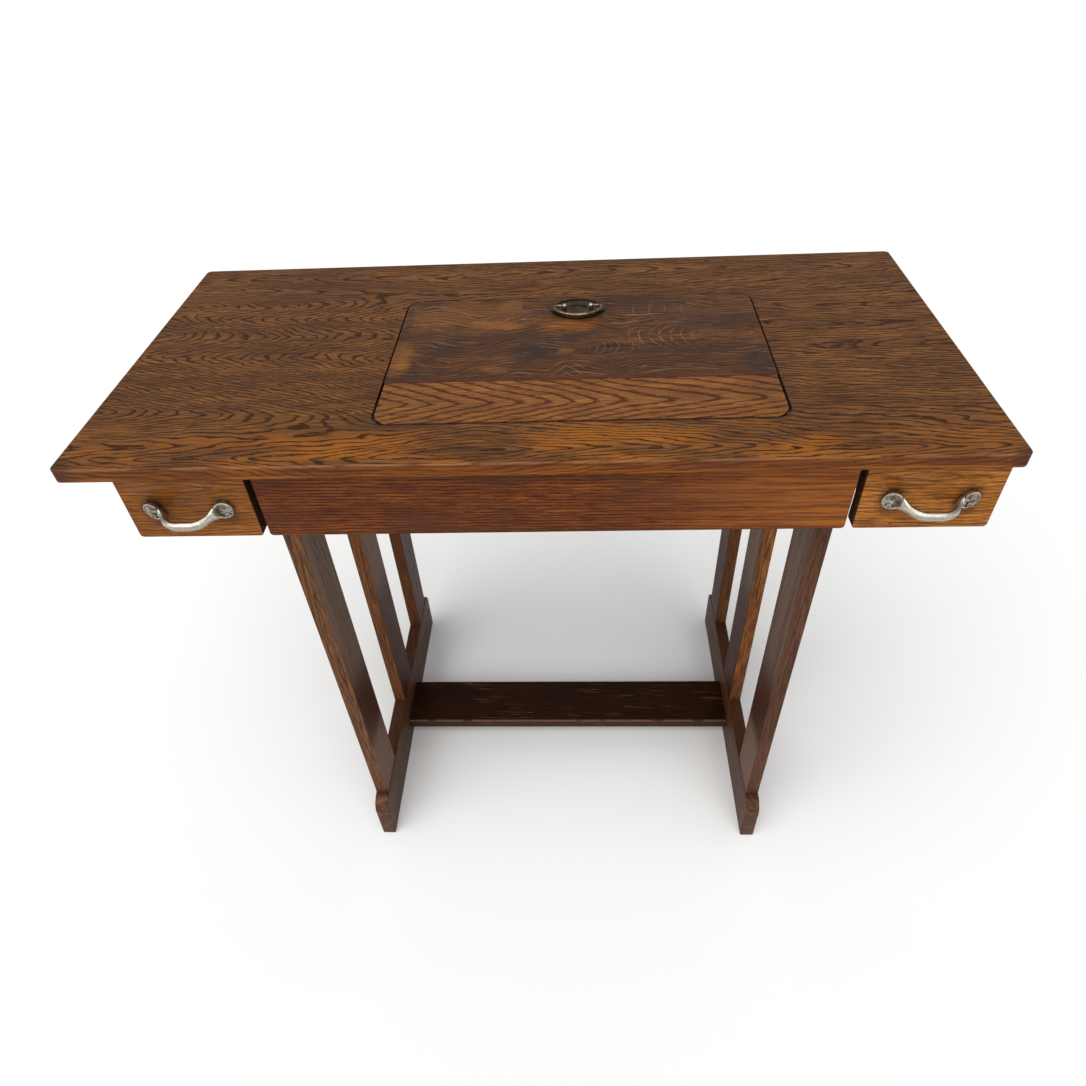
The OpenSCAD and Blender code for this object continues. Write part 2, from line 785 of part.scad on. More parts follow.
module pull_bail() {
    elbow_x = bail_a - bail_elbow_r;
    pin_x = post_x - post_ball_r + bail_pin_end;
    color("olive") at_opening() translate([0, pull_y, bail_z]) {
        for (s = [0, 1]) mirror([s, 0, 0]) {
            translate([pin_x, 0, 0]) rotate([0, 90, 0])
                cylinder(r = bail_pin_r, h = bail_shoulder - pin_x + bail_pin_end);
            translate([bail_shoulder, 0, 0]) rotate([0, 90, 0])
                cylinder(r = bail_r, h = elbow_x - bail_shoulder - bail_short);
            bail_collar(elbow_x, 0, 0);
            bail_arc(elbow_x, -bail_elbow_r, bail_elbow_r, 0, 90);
            bail_collar(bail_a, -bail_elbow_r, 90);
            bail_arc(bail_c, -bail_elbow_r, bail_corner_r, -bail_turn, bail_turn);
            bail_collar(bail_c + bail_corner_r * cos(bail_turn), -bail_elbow_r - bail_corner_r * sin(bail_turn),
                90 - bail_turn);
        }
        bail_arc(0, bail_k - bail_elbow_r, bail_rise + bail_k, 180 + bail_turn, 180 - 2 * bail_turn);
    }
}

// Hangers: L-shaped strips screwed under the top. s is 1 for the outer one and -1 for the inner.
module hanger(side, s) {
    edge = box_half + slide_w + drawer_play;
    color("burlywood") difference() {
        at_drawer(side) mirror([s < 0 ? 1 : 0, 0, 0]) {
            translate([edge, hanger_front, under_top - hanger_h])
                cube([hanger_web, hanger_back - hanger_front, hanger_h]);
            translate([box_half + 2 * drawer_play, hanger_front, under_top - hanger_h])
                cube([edge - box_half, hanger_back - hanger_front, hanger_lip_t]);
        }
        at_hanger_screws(side, s) translate([0, 0, under_top - hanger_h])
            screw_hole(screw_head_r, screw_r, hanger_h + screw_bite);
    }
}

module left_outer_hanger() {
    hanger(left, 1);
}

module left_inner_hanger() {
    hanger(left, -1);
}

module right_inner_hanger() {
    hanger(right, -1);
}

module right_outer_hanger() {
    hanger(right, 1);
}

module hanger_screws() {
    color("dimgray") for (side = [left, right], s = [-1, 1]) {
        at_hanger_screws(side, s) translate([0, 0, under_top - hanger_h])
            screw(screw_head_r, screw_r, hanger_h + screw_bite);
    }
}

// Drawer stop: a block glued under the top, which the drawer's back meets when it is pulled out
module drawer_stop(side) {
    color("burlywood") at_drawer(side) translate([-stop_w / 2, stop_back - stop_l, under_top - stop_h])
        cube([stop_w, stop_l, stop_h]);
}

module left_drawer_stop() {
    drawer_stop(left);
}

module right_drawer_stop() {
    drawer_stop(right);
}

// Drawer bottom, and the grooves that hold it when extra is a clearance
module drawer_bottom(extra) {
    half = box_half - drawer_side_t + groove_d;
    front = front_y + drawer_front_t - groove_d;
    translate([-half - extra, front - extra, bottom_z - extra])
        cube([2 * (half + extra), box_back - front + 2 * extra, drawer_bottom_t + 2 * extra]);
}

// One drawer side, drawn at x > 0, with its front end in a groove of the drawer front
module drawer_side(extra) {
    front = front_y + drawer_front_t - groove_d;
    translate([box_half - drawer_side_t - extra, front - extra, box_z - extra])
        cube([drawer_side_t + 2 * extra, box_back - front + extra, slide_top - box_z + 2 * extra]);
}

module drawer_front(side) {
    color("peru") at_drawer(side) difference() {
        front_board(drawer_w, apron_z, drawer_front_h, front_y, drawer_front_t, front_corner_r);
        for (s = [0, 1]) mirror([s, 0, 0]) drawer_side(groove_clear);
        drawer_bottom(groove_clear);
        for (s = [-1, 1]) translate([s * handle_pitch / 2, front_y - over, handle_z]) rotate([-90, 0, 0])
            cylinder(r = small_screw_r + screw_clear, h = small_bite + over + point_room);
    }
}

module drawer_wall(side, s) {
    color("tan") at_drawer(side) mirror([s < 0 ? 1 : 0, 0, 0]) difference() {
        drawer_side(0);
        drawer_bottom(groove_clear);
    }
}

module drawer_back(side) {
    half = box_half - drawer_side_t;
    low = bottom_z + drawer_bottom_t;
    color("tan") at_drawer(side) translate([-half, box_back - drawer_side_t, low])
        cube([2 * half, drawer_side_t, back_top - low]);
}

// Slide strips glued along the upper edges of the drawer, which run on the hangers
module drawer_slides(side) {
    color("burlywood") at_drawer(side) for (s = [0, 1]) mirror([s, 0, 0])
        translate([box_half, hanger_front + drawer_play, slide_top - slide_h])
            cube([slide_w, drawer_l - slide_inset, slide_h]);
}

module left_drawer_front() {
    drawer_front(left);
}

module left_drawer_outer_side() {
    drawer_wall(left, 1);
}

module left_drawer_inner_side() {
    drawer_wall(left, -1);
}

module left_drawer_back() {
    drawer_back(left);
}

module left_drawer_bottom() {
    color("tan") at_drawer(left) drawer_bottom(0);
}

module left_drawer_slides() {
    drawer_slides(left);
}

module right_drawer_front() {
    drawer_front(right);
}

module right_drawer_outer_side() {
    drawer_wall(right, 1);
}

module right_drawer_inner_side() {
    drawer_wall(right, -1);
}

module right_drawer_back() {
    drawer_back(right);
}

module right_drawer_bottom() {
    color("tan") at_drawer(right) drawer_bottom(0);
}

module right_drawer_slides() {
    drawer_slides(right);
}

// Handle: a cast bow with an end plate of two lobes at each end, screwed to the drawer front
module at_handle_screws(side) {
    for (s = [-1, 1]) at_drawer(side) translate([s * handle_pitch / 2, front_y, handle_z]) children();
}

module handle(side) {
    plate_x = handle_pitch / 2;
    color("silver") difference() {
        at_drawer(side) translate([0, front_y, handle_z]) for (s = [0, 1]) mirror([s, 0, 0]) {
            rotate([90, 0, 0]) linear_extrude(handle_plate_t) {
                translate([plate_x, 0]) circle(handle_lobe_r);
                translate([plate_x + handle_low_lobe_x, -handle_low_lobe_z]) circle(handle_low_lobe_r);
                translate([bow_root_x, -bow_drop]) circle(bow_flare_r + handle_collar);
            }
            translate([0, 0, -bow_drop]) {
                translate([0, -bow_out, 0]) rotate([0, 90, 0]) cylinder(r = bow_r, h = bow_half);
                translate([bow_half, -bow_out + bow_bend_r, 0]) rotate([0, 0, -90])
                    rotate_extrude(angle = bow_bend) translate([bow_bend_r, 0]) circle(bow_r);
                translate([bend_end_x, -bend_end_out, 0]) rotate([0, 90, bow_bend])
                    cylinder(r1 = bow_r + bow_step, r2 = bow_flare_r, h = bow_leg_l);
            }
        }
        at_handle_screws(side) rotate([-90, 0, 0]) translate([0, 0, -handle_plate_t])
            screw_hole(small_head_r, small_screw_r, handle_plate_t + small_bite);
        at_drawer(side) translate([0, front_y, handle_z]) translate([-handle_pitch, 0, -handle_pitch / 2])
            cube([2 * handle_pitch, handle_reach, handle_pitch]);
    }
}

module handle_screws(side) {
    color("gray") at_handle_screws(side) rotate([-90, 0, 0]) translate([0, 0, -handle_plate_t])
        screw(small_head_r, small_screw_r, handle_plate_t + small_bite);
}

module left_handle() {
    handle(left);
}

module left_handle_screws() {
    handle_screws(left);
}

module right_handle() {
    handle(right);
}

module right_handle_screws() {
    handle_screws(right);
}

table_top();
front_apron();
rear_apron();
left_top_rail();
right_top_rail();
left_front_leg();
left_middle_leg();
left_rear_leg();
right_front_leg();
right_middle_leg();
right_rear_leg();
left_foot();
right_foot();
stretcher();
corner_blocks();
corner_block_screws();
left_lid_ledge();
right_lid_ledge();
rear_lid_ledge();
ledge_screws();
flap_hinge_fixed_leaves();
flap_hinge_pins();
flap_hinge_fixed_screws();
left_outer_hanger();
left_inner_hanger();
right_inner_hanger();
right_outer_hanger();
hanger_screws();
left_drawer_stop();
right_drawer_stop();
lid_board();
pull_plate();
pull_posts();
pull_nuts();
pull_bail();
front_flap();
flap_hinge_moving_leaves();
flap_hinge_moving_screws();
left_drawer_front();
left_drawer_outer_side();
left_drawer_inner_side();
left_drawer_back();
left_drawer_bottom();
left_drawer_slides();
left_handle();
left_handle_screws();
right_drawer_front();
right_drawer_outer_side();
right_drawer_inner_side();
right_drawer_back();
right_drawer_bottom();
right_drawer_slides();
right_handle();
right_handle_screws();
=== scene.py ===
"""Looks of an oak sewing table: lift-out lid, drop flap, hanging drawers and slatted end frames."""

import math

import bpy
from mathutils import Matrix, Vector


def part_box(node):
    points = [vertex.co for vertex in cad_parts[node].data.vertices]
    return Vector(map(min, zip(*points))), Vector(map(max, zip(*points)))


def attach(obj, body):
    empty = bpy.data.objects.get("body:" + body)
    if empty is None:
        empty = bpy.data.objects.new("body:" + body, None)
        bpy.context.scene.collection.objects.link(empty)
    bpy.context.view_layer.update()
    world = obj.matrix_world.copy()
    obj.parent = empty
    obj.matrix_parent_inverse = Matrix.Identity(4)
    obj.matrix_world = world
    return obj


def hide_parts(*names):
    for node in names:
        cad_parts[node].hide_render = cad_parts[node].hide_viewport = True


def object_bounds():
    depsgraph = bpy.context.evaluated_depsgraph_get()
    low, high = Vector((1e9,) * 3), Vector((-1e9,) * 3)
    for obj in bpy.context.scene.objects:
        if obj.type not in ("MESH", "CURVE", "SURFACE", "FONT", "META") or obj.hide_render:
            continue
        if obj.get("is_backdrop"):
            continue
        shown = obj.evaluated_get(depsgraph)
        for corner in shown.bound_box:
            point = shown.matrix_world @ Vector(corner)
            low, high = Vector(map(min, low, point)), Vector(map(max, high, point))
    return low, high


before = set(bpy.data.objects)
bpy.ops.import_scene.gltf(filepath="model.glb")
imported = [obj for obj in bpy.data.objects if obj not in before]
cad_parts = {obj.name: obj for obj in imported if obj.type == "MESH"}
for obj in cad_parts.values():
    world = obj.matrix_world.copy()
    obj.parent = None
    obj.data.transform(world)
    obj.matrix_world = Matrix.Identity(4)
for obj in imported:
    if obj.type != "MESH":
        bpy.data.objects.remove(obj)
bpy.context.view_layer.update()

# Camera, floor and light. The table stands on a plain pale floor in soft daylight, and the eye is
# a little above a standing person's waist, looking down at it.
eye = bpy.data.cameras.new("eye")
eye.lens = 25.749
eye.sensor_width = 36.0
eye.clip_end = 60.0
eye_place = bpy.data.objects.new("eye", eye)
bpy.context.scene.collection.objects.link(eye_place)
eye_spot = (0.053986, -0.831977, 1.217034)
heading, tilt, lean = (math.radians(turn) for turn in (-3.939, -42.851, -3.359))
level_ahead = Vector((math.sin(heading), math.cos(heading), 0.0))
level = Vector((math.cos(heading), -math.sin(heading), 0.0))
ahead = level_ahead * math.cos(tilt) + Vector((0.0, 0.0, math.sin(tilt)))
rise = level.cross(ahead)
to_right = level * math.cos(lean) + rise * math.sin(lean)
to_top = rise * math.cos(lean) - level * math.sin(lean)
facing = Matrix((to_right, to_top, -ahead)).transposed().to_4x4()
eye_place.matrix_world = Matrix.Translation(eye_spot) @ facing
bpy.context.scene.camera = eye_place
bpy.context.scene.view_settings.view_transform = "Standard"

bpy.ops.mesh.primitive_plane_add(size=60.0, location=(0.0, 0.0, -0.0005))
floor = bpy.context.object
floor.name = "floor"
pale = bpy.data.materials.new("pale_floor")
pale.use_nodes = True
pale_coat = pale.node_tree.nodes["Principled BSDF"]
pale_coat.inputs["Base Color"].default_value = (0.86, 0.86, 0.855, 1.0)
pale_coat.inputs["Roughness"].default_value = 0.9
floor.data.materials.append(pale)
floor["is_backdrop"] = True

daylight = bpy.data.worlds.new("daylight")
bpy.context.scene.world = daylight
daylight.use_nodes = True
sky = daylight.node_tree.nodes["Background"]
sky.inputs["Color"].default_value = (0.96, 0.98, 1.0, 1.0)
sky.inputs["Strength"].default_value = 0.52
lamp = bpy.data.lights.new("high_window", "SUN")
lamp.energy = 2.70
lamp.angle = math.radians(75.0)
lamp.color = (1.0, 0.985, 0.965)
lamp_place = bpy.data.objects.new("high_window", lamp)
bpy.context.scene.collection.objects.link(lamp_place)
lamp_place.location = (-1.2, -3.0, 4.0)
lamp_place.rotation_euler = Vector((0.22, 0.62, -1.0)).to_track_quat("-Z", "Y").to_euler()


# Table top. One wide board of plain-sawn oak with the machine's opening cut through it, stained
# brown and varnished. Its edges are eased and worn pale along the front.
class Wire:
    """One socket in a finish's nodes. Sums on wires add the Math nodes that work them out."""

    def __init__(self, tree, socket):
        self.tree = tree
        self.socket = socket

    def node(self, kind, settings=None, inputs=None, out=0):
        """Adds a shader node with its settings, feeds its sockets, and gives one of its outputs."""
        made = self.tree.nodes.new("ShaderNode" + kind)
        for name, value in (settings or {}).items():
            setattr(made, name, value)
        for name, value in (inputs or {}).items():
            if isinstance(value, Wire):
                self.tree.links.new(value.socket, made.inputs[name])
            else:
                made.inputs[name].default_value = value
        return Wire(self.tree, made.outputs[out])

    def math(self, operation, *values):
        return self.node("Math", {"operation": operation}, dict(enumerate(values)))

    def __add__(self, other):
        return self.math("ADD", self, other)

    def __radd__(self, other):
        return self.math("ADD", other, self)

    def __sub__(self, other):
        return self.math("SUBTRACT", self, other)

    def __rsub__(self, other):
        return self.math("SUBTRACT", other, self)

    def __mul__(self, other):
        return self.math("MULTIPLY", self, other)

    def __rmul__(self, other):
        return self.math("MULTIPLY", other, self)

    def __truediv__(self, other):
        return self.math("DIVIDE", self, other)

    def size(self):
        return self.math("ABSOLUTE", self)

    def root(self):
        return self.math("SQRT", self)

    def above(self, least):
        return self.math("MAXIMUM", self, least)

    def below(self, most):
        return self.math("MINIMUM", self, most)

    def step(self, low, high):
        """0 below low, 1 above high, smooth between. Swapped limits fall instead of rising."""
        limits = {0: self, 1: low, 2: high, 3: 0.0, 4: 1.0}
        return self.node("MapRange", {"interpolation_type": "SMOOTHSTEP"}, limits)

    def noise(self, x, y, z, detail=2.0, roughness=0.5):
        """Cloudy values about 0.5 over the point (x, y, z), one lump to each unit."""
        point = self.node("CombineXYZ", None, {0: x, 1: y, 2: z})
        shape = {0: point, 2: 1.0, 3: detail, 4: roughness}
        return self.node("TexNoise", {"noise_dimensions": "3D"}, shape)

    def plain(self, colour):
        """One colour all over, to lay tints on."""
        made = self.node("RGB")
        made.socket.default_value = (*colour, 1.0)
        return made

    def tint(self, share, colour):
        """This colour with a share of another one over it."""
        return self.node("Mix", {"data_type": "RGBA"}, {0: share, 6: self, 7: (*colour, 1.0)}, 2)


def new_finish(name):
    """A finish with a bare coat, and the wires x, y and z of the point on the object."""
    finish = bpy.data.materials.new(name)
    finish.use_nodes = True
    spot = Wire(finish.node_tree, None).node("TexCoord", out="Object")
    parts = spot.node("SeparateXYZ", None, {0: spot}).socket.node.outputs
    return finish, [Wire(finish.node_tree, part) for part in parts]


def lay_coat(finish, colour, roughness, height, depth, shine=0.5, metallic=0.0):
    """Feeds the coat of a finish with its colour, its roughness and the height of its grain."""
    tree = finish.node_tree
    coat = tree.nodes["Principled BSDF"]
    tree.links.new(colour.socket, coat.inputs["Base Color"])
    tree.links.new(roughness.socket, coat.inputs["Roughness"])
    coat.inputs["Metallic"].default_value = metallic
    coat.inputs["Specular IOR Level"].default_value = shine
    bump = height.node("Bump", None, {"Height": height, "Strength": 1.0, "Distance": depth})
    tree.links.new(bump.socket, coat.inputs["Normal"])


def fold(spot, middle, blunt):
    """Distance from a line at the middle, rounded where it turns back."""
    off = spot - middle
    return (off * off + blunt * blunt).root()


def oak(along, across, rings, ring, tones, seed, wander=1.0, lines=0.72, shades=(0.75, 0.5)):
    """Colour of sawn oak, and how open its pores are, from a place in the board.

    rings is the distance through the growth rings in metres, and ring is the width of one year.
    tones are the colours of the wood, its pale parts, its dull parts and its open pores. wander
    says how far the rings stray, lines how dark the pores are, and shades the shares of the pale
    and the dull parts.
    """
    wood, pale, dull, dark = tones
    drift = along.noise(along * 7.0 + seed, across * 24.0, 1.7, 2.0, 0.5) - 0.5
    wave = along.noise(along * 26.0 + seed, across * 70.0, 2.9, 1.0, 0.5) - 0.5
    turn = (rings + drift * (0.022 * wander) + wave * (0.0075 * wander)) / ring
    year = turn.math("FRACT", turn)
    early = year.step(0.62, 0.10) * year.step(0.0, 0.10)
    dash = along.noise(along * 60.0 + seed, across * 380.0, 0.0, 4.0, 0.75)
    pores = (early * 1.15 + dash * 3.6 - 2.25).step(0.0, 0.55)
    fine = along.noise(along * 26.0 + seed, across * 420.0, 7.0, 3.0, 0.75).step(0.42, 0.60)
    tone = along.noise(along * 5.0 + seed, across * 40.0, 5.0, 4.0, 0.6).step(0.38, 0.64)
    cloud = along.noise(along * 5.0 + seed, across * 14.0, 9.0, 4.0, 0.6).step(0.47, 0.66)
    colour = along.plain(wood).tint(tone * shades[0], pale).tint(cloud * shades[1], dull)
    colour = colour.tint(fine * 0.82, [0.55 * a + 0.45 * b for a, b in zip(dark, dull)])
    return colour.tint(pores * lines, dark), pores


def eased(node, name, body, width=0.0009, segments=3, least=5e-6, crisp_from=1.0):
    """A copy of a sawn piece with its arrises eased as with a plane and sandpaper.

    Arrises stay as sawn behind crisp_from, and beside faces with less than the least area.
    """
    piece = bpy.data.objects.new(name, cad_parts[node].data.copy())
    bpy.context.scene.collection.objects.link(piece)
    piece.data.materials.clear()
    bpy.ops.object.select_all(action="DESELECT")
    piece.select_set(True)
    bpy.context.view_layer.objects.active = piece
    bpy.ops.object.mode_set(mode="EDIT")
    bpy.ops.mesh.select_mode(type="EDGE")
    bpy.ops.mesh.select_all(action="SELECT")
    bpy.ops.mesh.remove_doubles(threshold=0.00002)
    bpy.ops.mesh.dissolve_limited(angle_limit=math.radians(0.6))
    bpy.ops.mesh.select_all(action="DESELECT")
    bpy.ops.object.mode_set(mode="OBJECT")
    mesh = piece.data
    faces_at = {}
    for face in mesh.polygons:
        for key in face.edge_keys:
            faces_at.setdefault(key, []).append(face)
    for edge in mesh.edges:
        beside = faces_at.get(edge.key, [])
        if len(beside) != 2:
            continue
        a, b = beside
        if a.normal.angle(b.normal, 0.0) < math.radians(30.0) or min(a.area, b.area) < least:
            continue
        heart = (mesh.vertices[edge.vertices[0]].co + mesh.vertices[edge.vertices[1]].co) / 2.0
        if heart.y < crisp_from and (a.center - heart).dot(b.normal) < 0.0:
            edge.select = True
    bpy.ops.object.mode_set(mode="EDIT")
    bpy.ops.mesh.bevel(
        offset=width, offset_type="OFFSET", segments=segments, affect="EDGES", clamp_overlap=False
    )
    bpy.ops.object.mode_set(mode="OBJECT")
    bpy.ops.object.shade_smooth_by_angle(angle=math.radians(16.0))
    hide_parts(node)
    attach(piece, body)
    return piece


def edge_wear(x, y, low, high, width):
    """1 at the outline of a board seen from above, 0 further in than the width."""
    near_side = (x - low.x).below(high.x - x)
    near_end = (y - low.y).below(high.y - y)
    return near_side.below(near_end).step(width, 0.0)


def patch(x, y, centre, reach, lean=0.0, ragged=1.0, soft=0.5, seed=0.0):
    """A mark with a ragged edge about a place on the board: 1 inside, 0 outside.

    reach is half its length and half its width, and lean its turn in degrees.
    """
    turn = math.radians(lean)
    a = ((x - centre[0]) * math.cos(turn) + (y - centre[1]) * math.sin(turn)) / reach[0]
    b = ((y - centre[1]) * math.cos(turn) - (x - centre[0]) * math.sin(turn)) / reach[1]
    far = (a * a + b * b).root()
    edge = x.noise(x * 40.0 + seed, y * 70.0, 3.0, 4.0, 0.6) - 0.5
    return (far + edge * (2.2 * ragged)).step(1.0 + soft, 1.0 - soft)


top_low, top_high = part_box("table_top")
face_z = top_high.z


def side_face(z):
    """1 on the edges of the top and the closure, 0 on their upper faces."""
    return z.step(face_z - 0.0007, face_z - 0.0017)


top = eased("table_top", "top", "table", width=0.0014)
top_finish, (x, y, z) = new_finish("top_oak")
# The growth rings: long arches in the middle, and rings of their own along the rear and the front.
through = y + (z - face_z) * 0.9
bend = (x.noise(x * 3.0 + 2.0, through * 2.0, 0.3, 1.0) - 0.5) * 0.05
line = through + bend
left_end = (0.0 - x - 0.13).above(0.0)
rings = fold(fold(line, 0.042, 0.012), 0.050, 0.010) + left_end * 0.22 - x * 0.06
rear_strip = 0.115 - fold(line, 0.205, 0.008) - fold(x, -0.04, 0.03) * 0.09
rings = rings + (rear_strip - rings) * line.step(0.115, 0.175)
front_strip = 0.200 - fold(line, -0.203, 0.003) - fold(x, -0.06, 0.03) * 0.12
rings = rings + (front_strip - rings) * line.step(-0.115, -0.190)
top_tones = (
    (0.142, 0.055, 0.0155), (0.250, 0.099, 0.0240), (0.072, 0.030, 0.0130), (0.026, 0.0098, 0.0040)
)
colour, pores = oak(x, through, rings, 0.0050, top_tones, 2.0, lines=0.84)
# Golden streaks along the front.
gold = x.noise(x * 8.0, through * 30.0, 15.0, 3.0, 0.6).step(0.40, 0.62)
gold = gold * (0.70 - 0.40 * x.size().step(0.22, 0.40))
colour = colour.tint(gold * line.step(-0.120, -0.195) * (1.0 - pores), (0.340, 0.106, 0.0075))
# The sawn edges inside the opening are almost black with painted shade from the gaps round the
# closure, which stands 1.6 mm clear of its sides and its front, and 0.8 mm clear of its rear.
lid_low, lid_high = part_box("lid_board")
flap_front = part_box("front_flap")[0].y
opening_x = (lid_low.x + lid_high.x) / 2.0
opening_side = lid_high.x + 0.0016 - opening_x
opening_front, opening_rear = flap_front - 0.0016, lid_high.y + 0.0008
aside = (x - opening_x).size()
opening = aside.step(opening_side + 0.00175, opening_side - 0.00025)
opening = opening * y.step(opening_front - 0.0015, opening_front)
opening = opening * y.step(opening_rear + 0.0020, opening_rear)
shaded_opening_edge = side_face(z) * opening
outer_edge = side_face(z) * (1.0 - opening)
colour = colour.tint(shaded_opening_edge * 0.9, (0.008, 0.005, 0.004))
colour = colour.tint(outer_edge * 0.55, (0.138, 0.034, 0.0045))
up = z - top_low.z
low_streak = up.step(0.0007, 0.0025) * up.step(0.0055, 0.0037)
low_streak = low_streak * x.noise(x * 12.0, z * 300.0, 2.0, 2.0).step(0.42, 0.55)
colour = colour.tint(low_streak * outer_edge * 0.6, (0.320, 0.104, 0.0130))
edge_lines = x.noise(x * 8.0, z * 430.0 + y * 200.0, 8.0, 3.0, 0.6).step(0.50, 0.58)
colour = colour.tint(edge_lines * outer_edge * 0.60, (0.060, 0.0150, 0.0040))
# The outer arris worn pale, darker blotches and a nick round the opening, and corners dark
# with handling.
worn = edge_wear(x, y, top_low, top_high, 0.0026) * z.step(face_z - 0.0030, face_z - 0.0014)
worn = worn * x.noise(x * 30.0, y * 30.0, 0.0, 2.0).step(0.35, 0.55)
colour = colour.tint(worn * 0.55, (0.270, 0.130, 0.060))
blotch_noise = x.noise(x * 20.0, y * 20.0, 4.0, 3.0, 0.6)
rim = aside.step(0.250, 0.222) * y.step(-0.190, -0.158) * y.step(0.150, 0.128)
colour = colour.tint(rim * blotch_noise.step(0.42, 0.62) * 0.35, (0.050, 0.026, 0.019))
nick = patch(x, y, (0.2795, 0.043), (0.0026, 0.0050), 15.0, 0.3)
nick = nick * z.step(face_z - 0.0020, face_z - 0.0010)
colour = colour.tint(nick * 0.85, (0.016, 0.008, 0.006))
# Painted shade: a dark line on the top along the gap in front of the flap.
front_gap_shade = y.step(flap_front - 0.0029, flap_front - 0.0021) * y.step(-0.150, -0.155)
front_gap_shade = front_gap_shade * aside.step(0.2230, 0.2000)
colour = colour.tint(front_gap_shade * 0.85, (0.010, 0.006, 0.004))
for corner in (top_low.x, top_high.x):
    handling_and_sky_grey = patch(x, y, (corner, top_low.y - 0.0075), (0.022, 0.016), 0.0, 0.6)
    colour = colour.tint(handling_and_sky_grey * 0.65, (0.050, 0.017, 0.009))
gloss = 0.42 + 0.25 * pores + 0.12 * blotch_noise
lay_coat(top_finish, colour, gloss, 1.0 - pores, 0.00025, 0.10)
top.data.materials.append(top_finish)


# Lid board. The rear part of the closure, an older board with flowery figure, dark water stains
# and golden places where the stain has worn off. It lies loose on three ledges.
def stripes(place, width):
    """Thin lines, one to each unit of the place. A larger width gives thinner lines."""
    return place.math("SINE", place * (2.0 * math.pi)).step(width, 1.0)


lid = eased("lid_board", "lid", "lid", width=0.0009)
lid_finish, (x, y, z) = new_finish("lid_oak")
swirl = (x.noise(x * 9.0 + 4.0, y * 12.0, 0.7, 1.0) - 0.5) * 0.05
rings = y + swirl * 1.2 + x * 0.03 + z
lid_tones = (
    (0.088, 0.032, 0.0102), (0.168, 0.063, 0.0175), (0.055, 0.023, 0.0105), (0.018, 0.0075, 0.0040)
)
colour, pores = oak(
    x, y + swirl, rings, 0.0046, lid_tones, 21.0, wander=1.2, lines=0.75, shades=(0.85, 0.6)
)
golden = (0.235, 0.087, 0.018)
orange = (0.240, 0.074, 0.010)
stain_and_shadow = (0.030, 0.0175, 0.0145)
burn = (0.012, 0.007, 0.004)
pull_spot = (opening_x, 0.0912)
# Share of the mark, its colour, its middle, half its length and width, and its turn in degrees.
for share, mark, centre, reach, lean in (
    (0.35, golden, (-0.085, 0.085), (0.075, 0.034), 0.0),
    (0.60, golden, (-0.157, -0.022), (0.013, 0.036), 0.0),
    (0.75, golden, (-0.049, 0.054), (0.027, 0.010), -8.0),
    (0.75, orange, (0.045, 0.052), (0.030, 0.014), 0.0),
    (0.60, golden, (-0.152, -0.038), (0.009, 0.009), 0.0),
    (0.50, golden, (-0.044, -0.052), (0.015, 0.007), -10.0),
    (0.55, golden, (0.037, -0.012), (0.009, 0.006), 0.0),
    (0.40, golden, (-0.030, 0.105), (0.016, 0.018), 0.0),
    (0.75, stain_and_shadow, (-0.112, -0.008), (0.011, 0.030), -40.0),
    (0.85, stain_and_shadow, (0.001, -0.014), (0.020, 0.022), -20.0),
    (0.70, stain_and_shadow, (0.050, 0.022), (0.026, 0.010), 15.0),
    (0.50, stain_and_shadow, (-0.020, 0.024), (0.045, 0.009), 0.0),
    (0.50, stain_and_shadow, (0.112, 0.114), (0.055, 0.020), 0.0),
    (0.45, stain_and_shadow, (0.206, 0.054), (0.045, 0.014), -5.0),
    (0.60, stain_and_shadow, (0.258, -0.043), (0.016, 0.030), 0.0),
    (0.45, stain_and_shadow, (-0.164, 0.072), (0.009, 0.050), 0.0),
    (0.55, stain_and_shadow, (-0.137, 0.111), (0.013, 0.009), 0.0),
    (0.45, stain_and_shadow, (-0.160, -0.068), (0.030, 0.006), 0.0),
    # Painted shadow of the plate and the bail round the pull.
    (0.60, stain_and_shadow, pull_spot, (0.0385, 0.0310), 0.0),
    (0.90, burn, (-0.0165, 0.102), (0.0020, 0.0050), -8.0),
):
    mark_share = patch(x, y, centre, reach, lean, seed=centre[0] * 90.0) * share
    colour = colour.tint(mark_share * (1.0 - pores * 0.55), mark)
# Pale rays across the rings: flowery ones, a row of peaks at the front, and thin flowing lines.
ray = (0.330, 0.165, 0.066)
wobble = x.noise(x * 45.0, y * 45.0, 6.0, 2.0) * 0.008
broken = x.noise(x * 70.0, y * 70.0, 12.0, 2.0).step(0.36, 0.54)
# Share of the rays, how much they curve, their spacing and thinness, and where they lie.
for share, curve, spacing, width, centre, reach in (
    (0.62, 20.0, 0.0125, 0.90, (0.150, 0.018), (0.038, 0.026)),
    (0.42, -22.0, 0.0085, 0.86, (0.094, -0.004), (0.026, 0.022)),
    (0.25, 9.0, 0.0200, 0.93, (0.150, 0.085), (0.040, 0.020)),
):
    off = y - centre[1]
    arc = stripes((x - off * off * curve + wobble) / spacing, width) * broken
    colour = colour.tint(arc * patch(x, y, centre, reach, 0.0, 0.5) * share, ray)
peak_x = 0.0386
peak = stripes((y + fold(x, peak_x, 0.0008) * 1.15 + wobble) / 0.0150, 0.90)
colour = colour.tint(peak * patch(x, y, (peak_x, -0.053), (0.020, 0.015), 0.0, 0.5) * 0.55, ray)
flow = stripes((y + swirl * 1.6 + x.noise(x * 14.0, y * 20.0, 8.0, 1.0) * 0.012) / 0.0075, 0.90)
flow = flow * x.noise(x * 22.0, y * 60.0, 9.0, 2.0).step(0.50, 0.62)
colour = colour.tint(flow * 0.60, ray)
front_band = (y + swirl * 0.05).step(-0.066, -0.073)
colour = colour.tint(front_band * 0.6, (0.070, 0.018, 0.011))
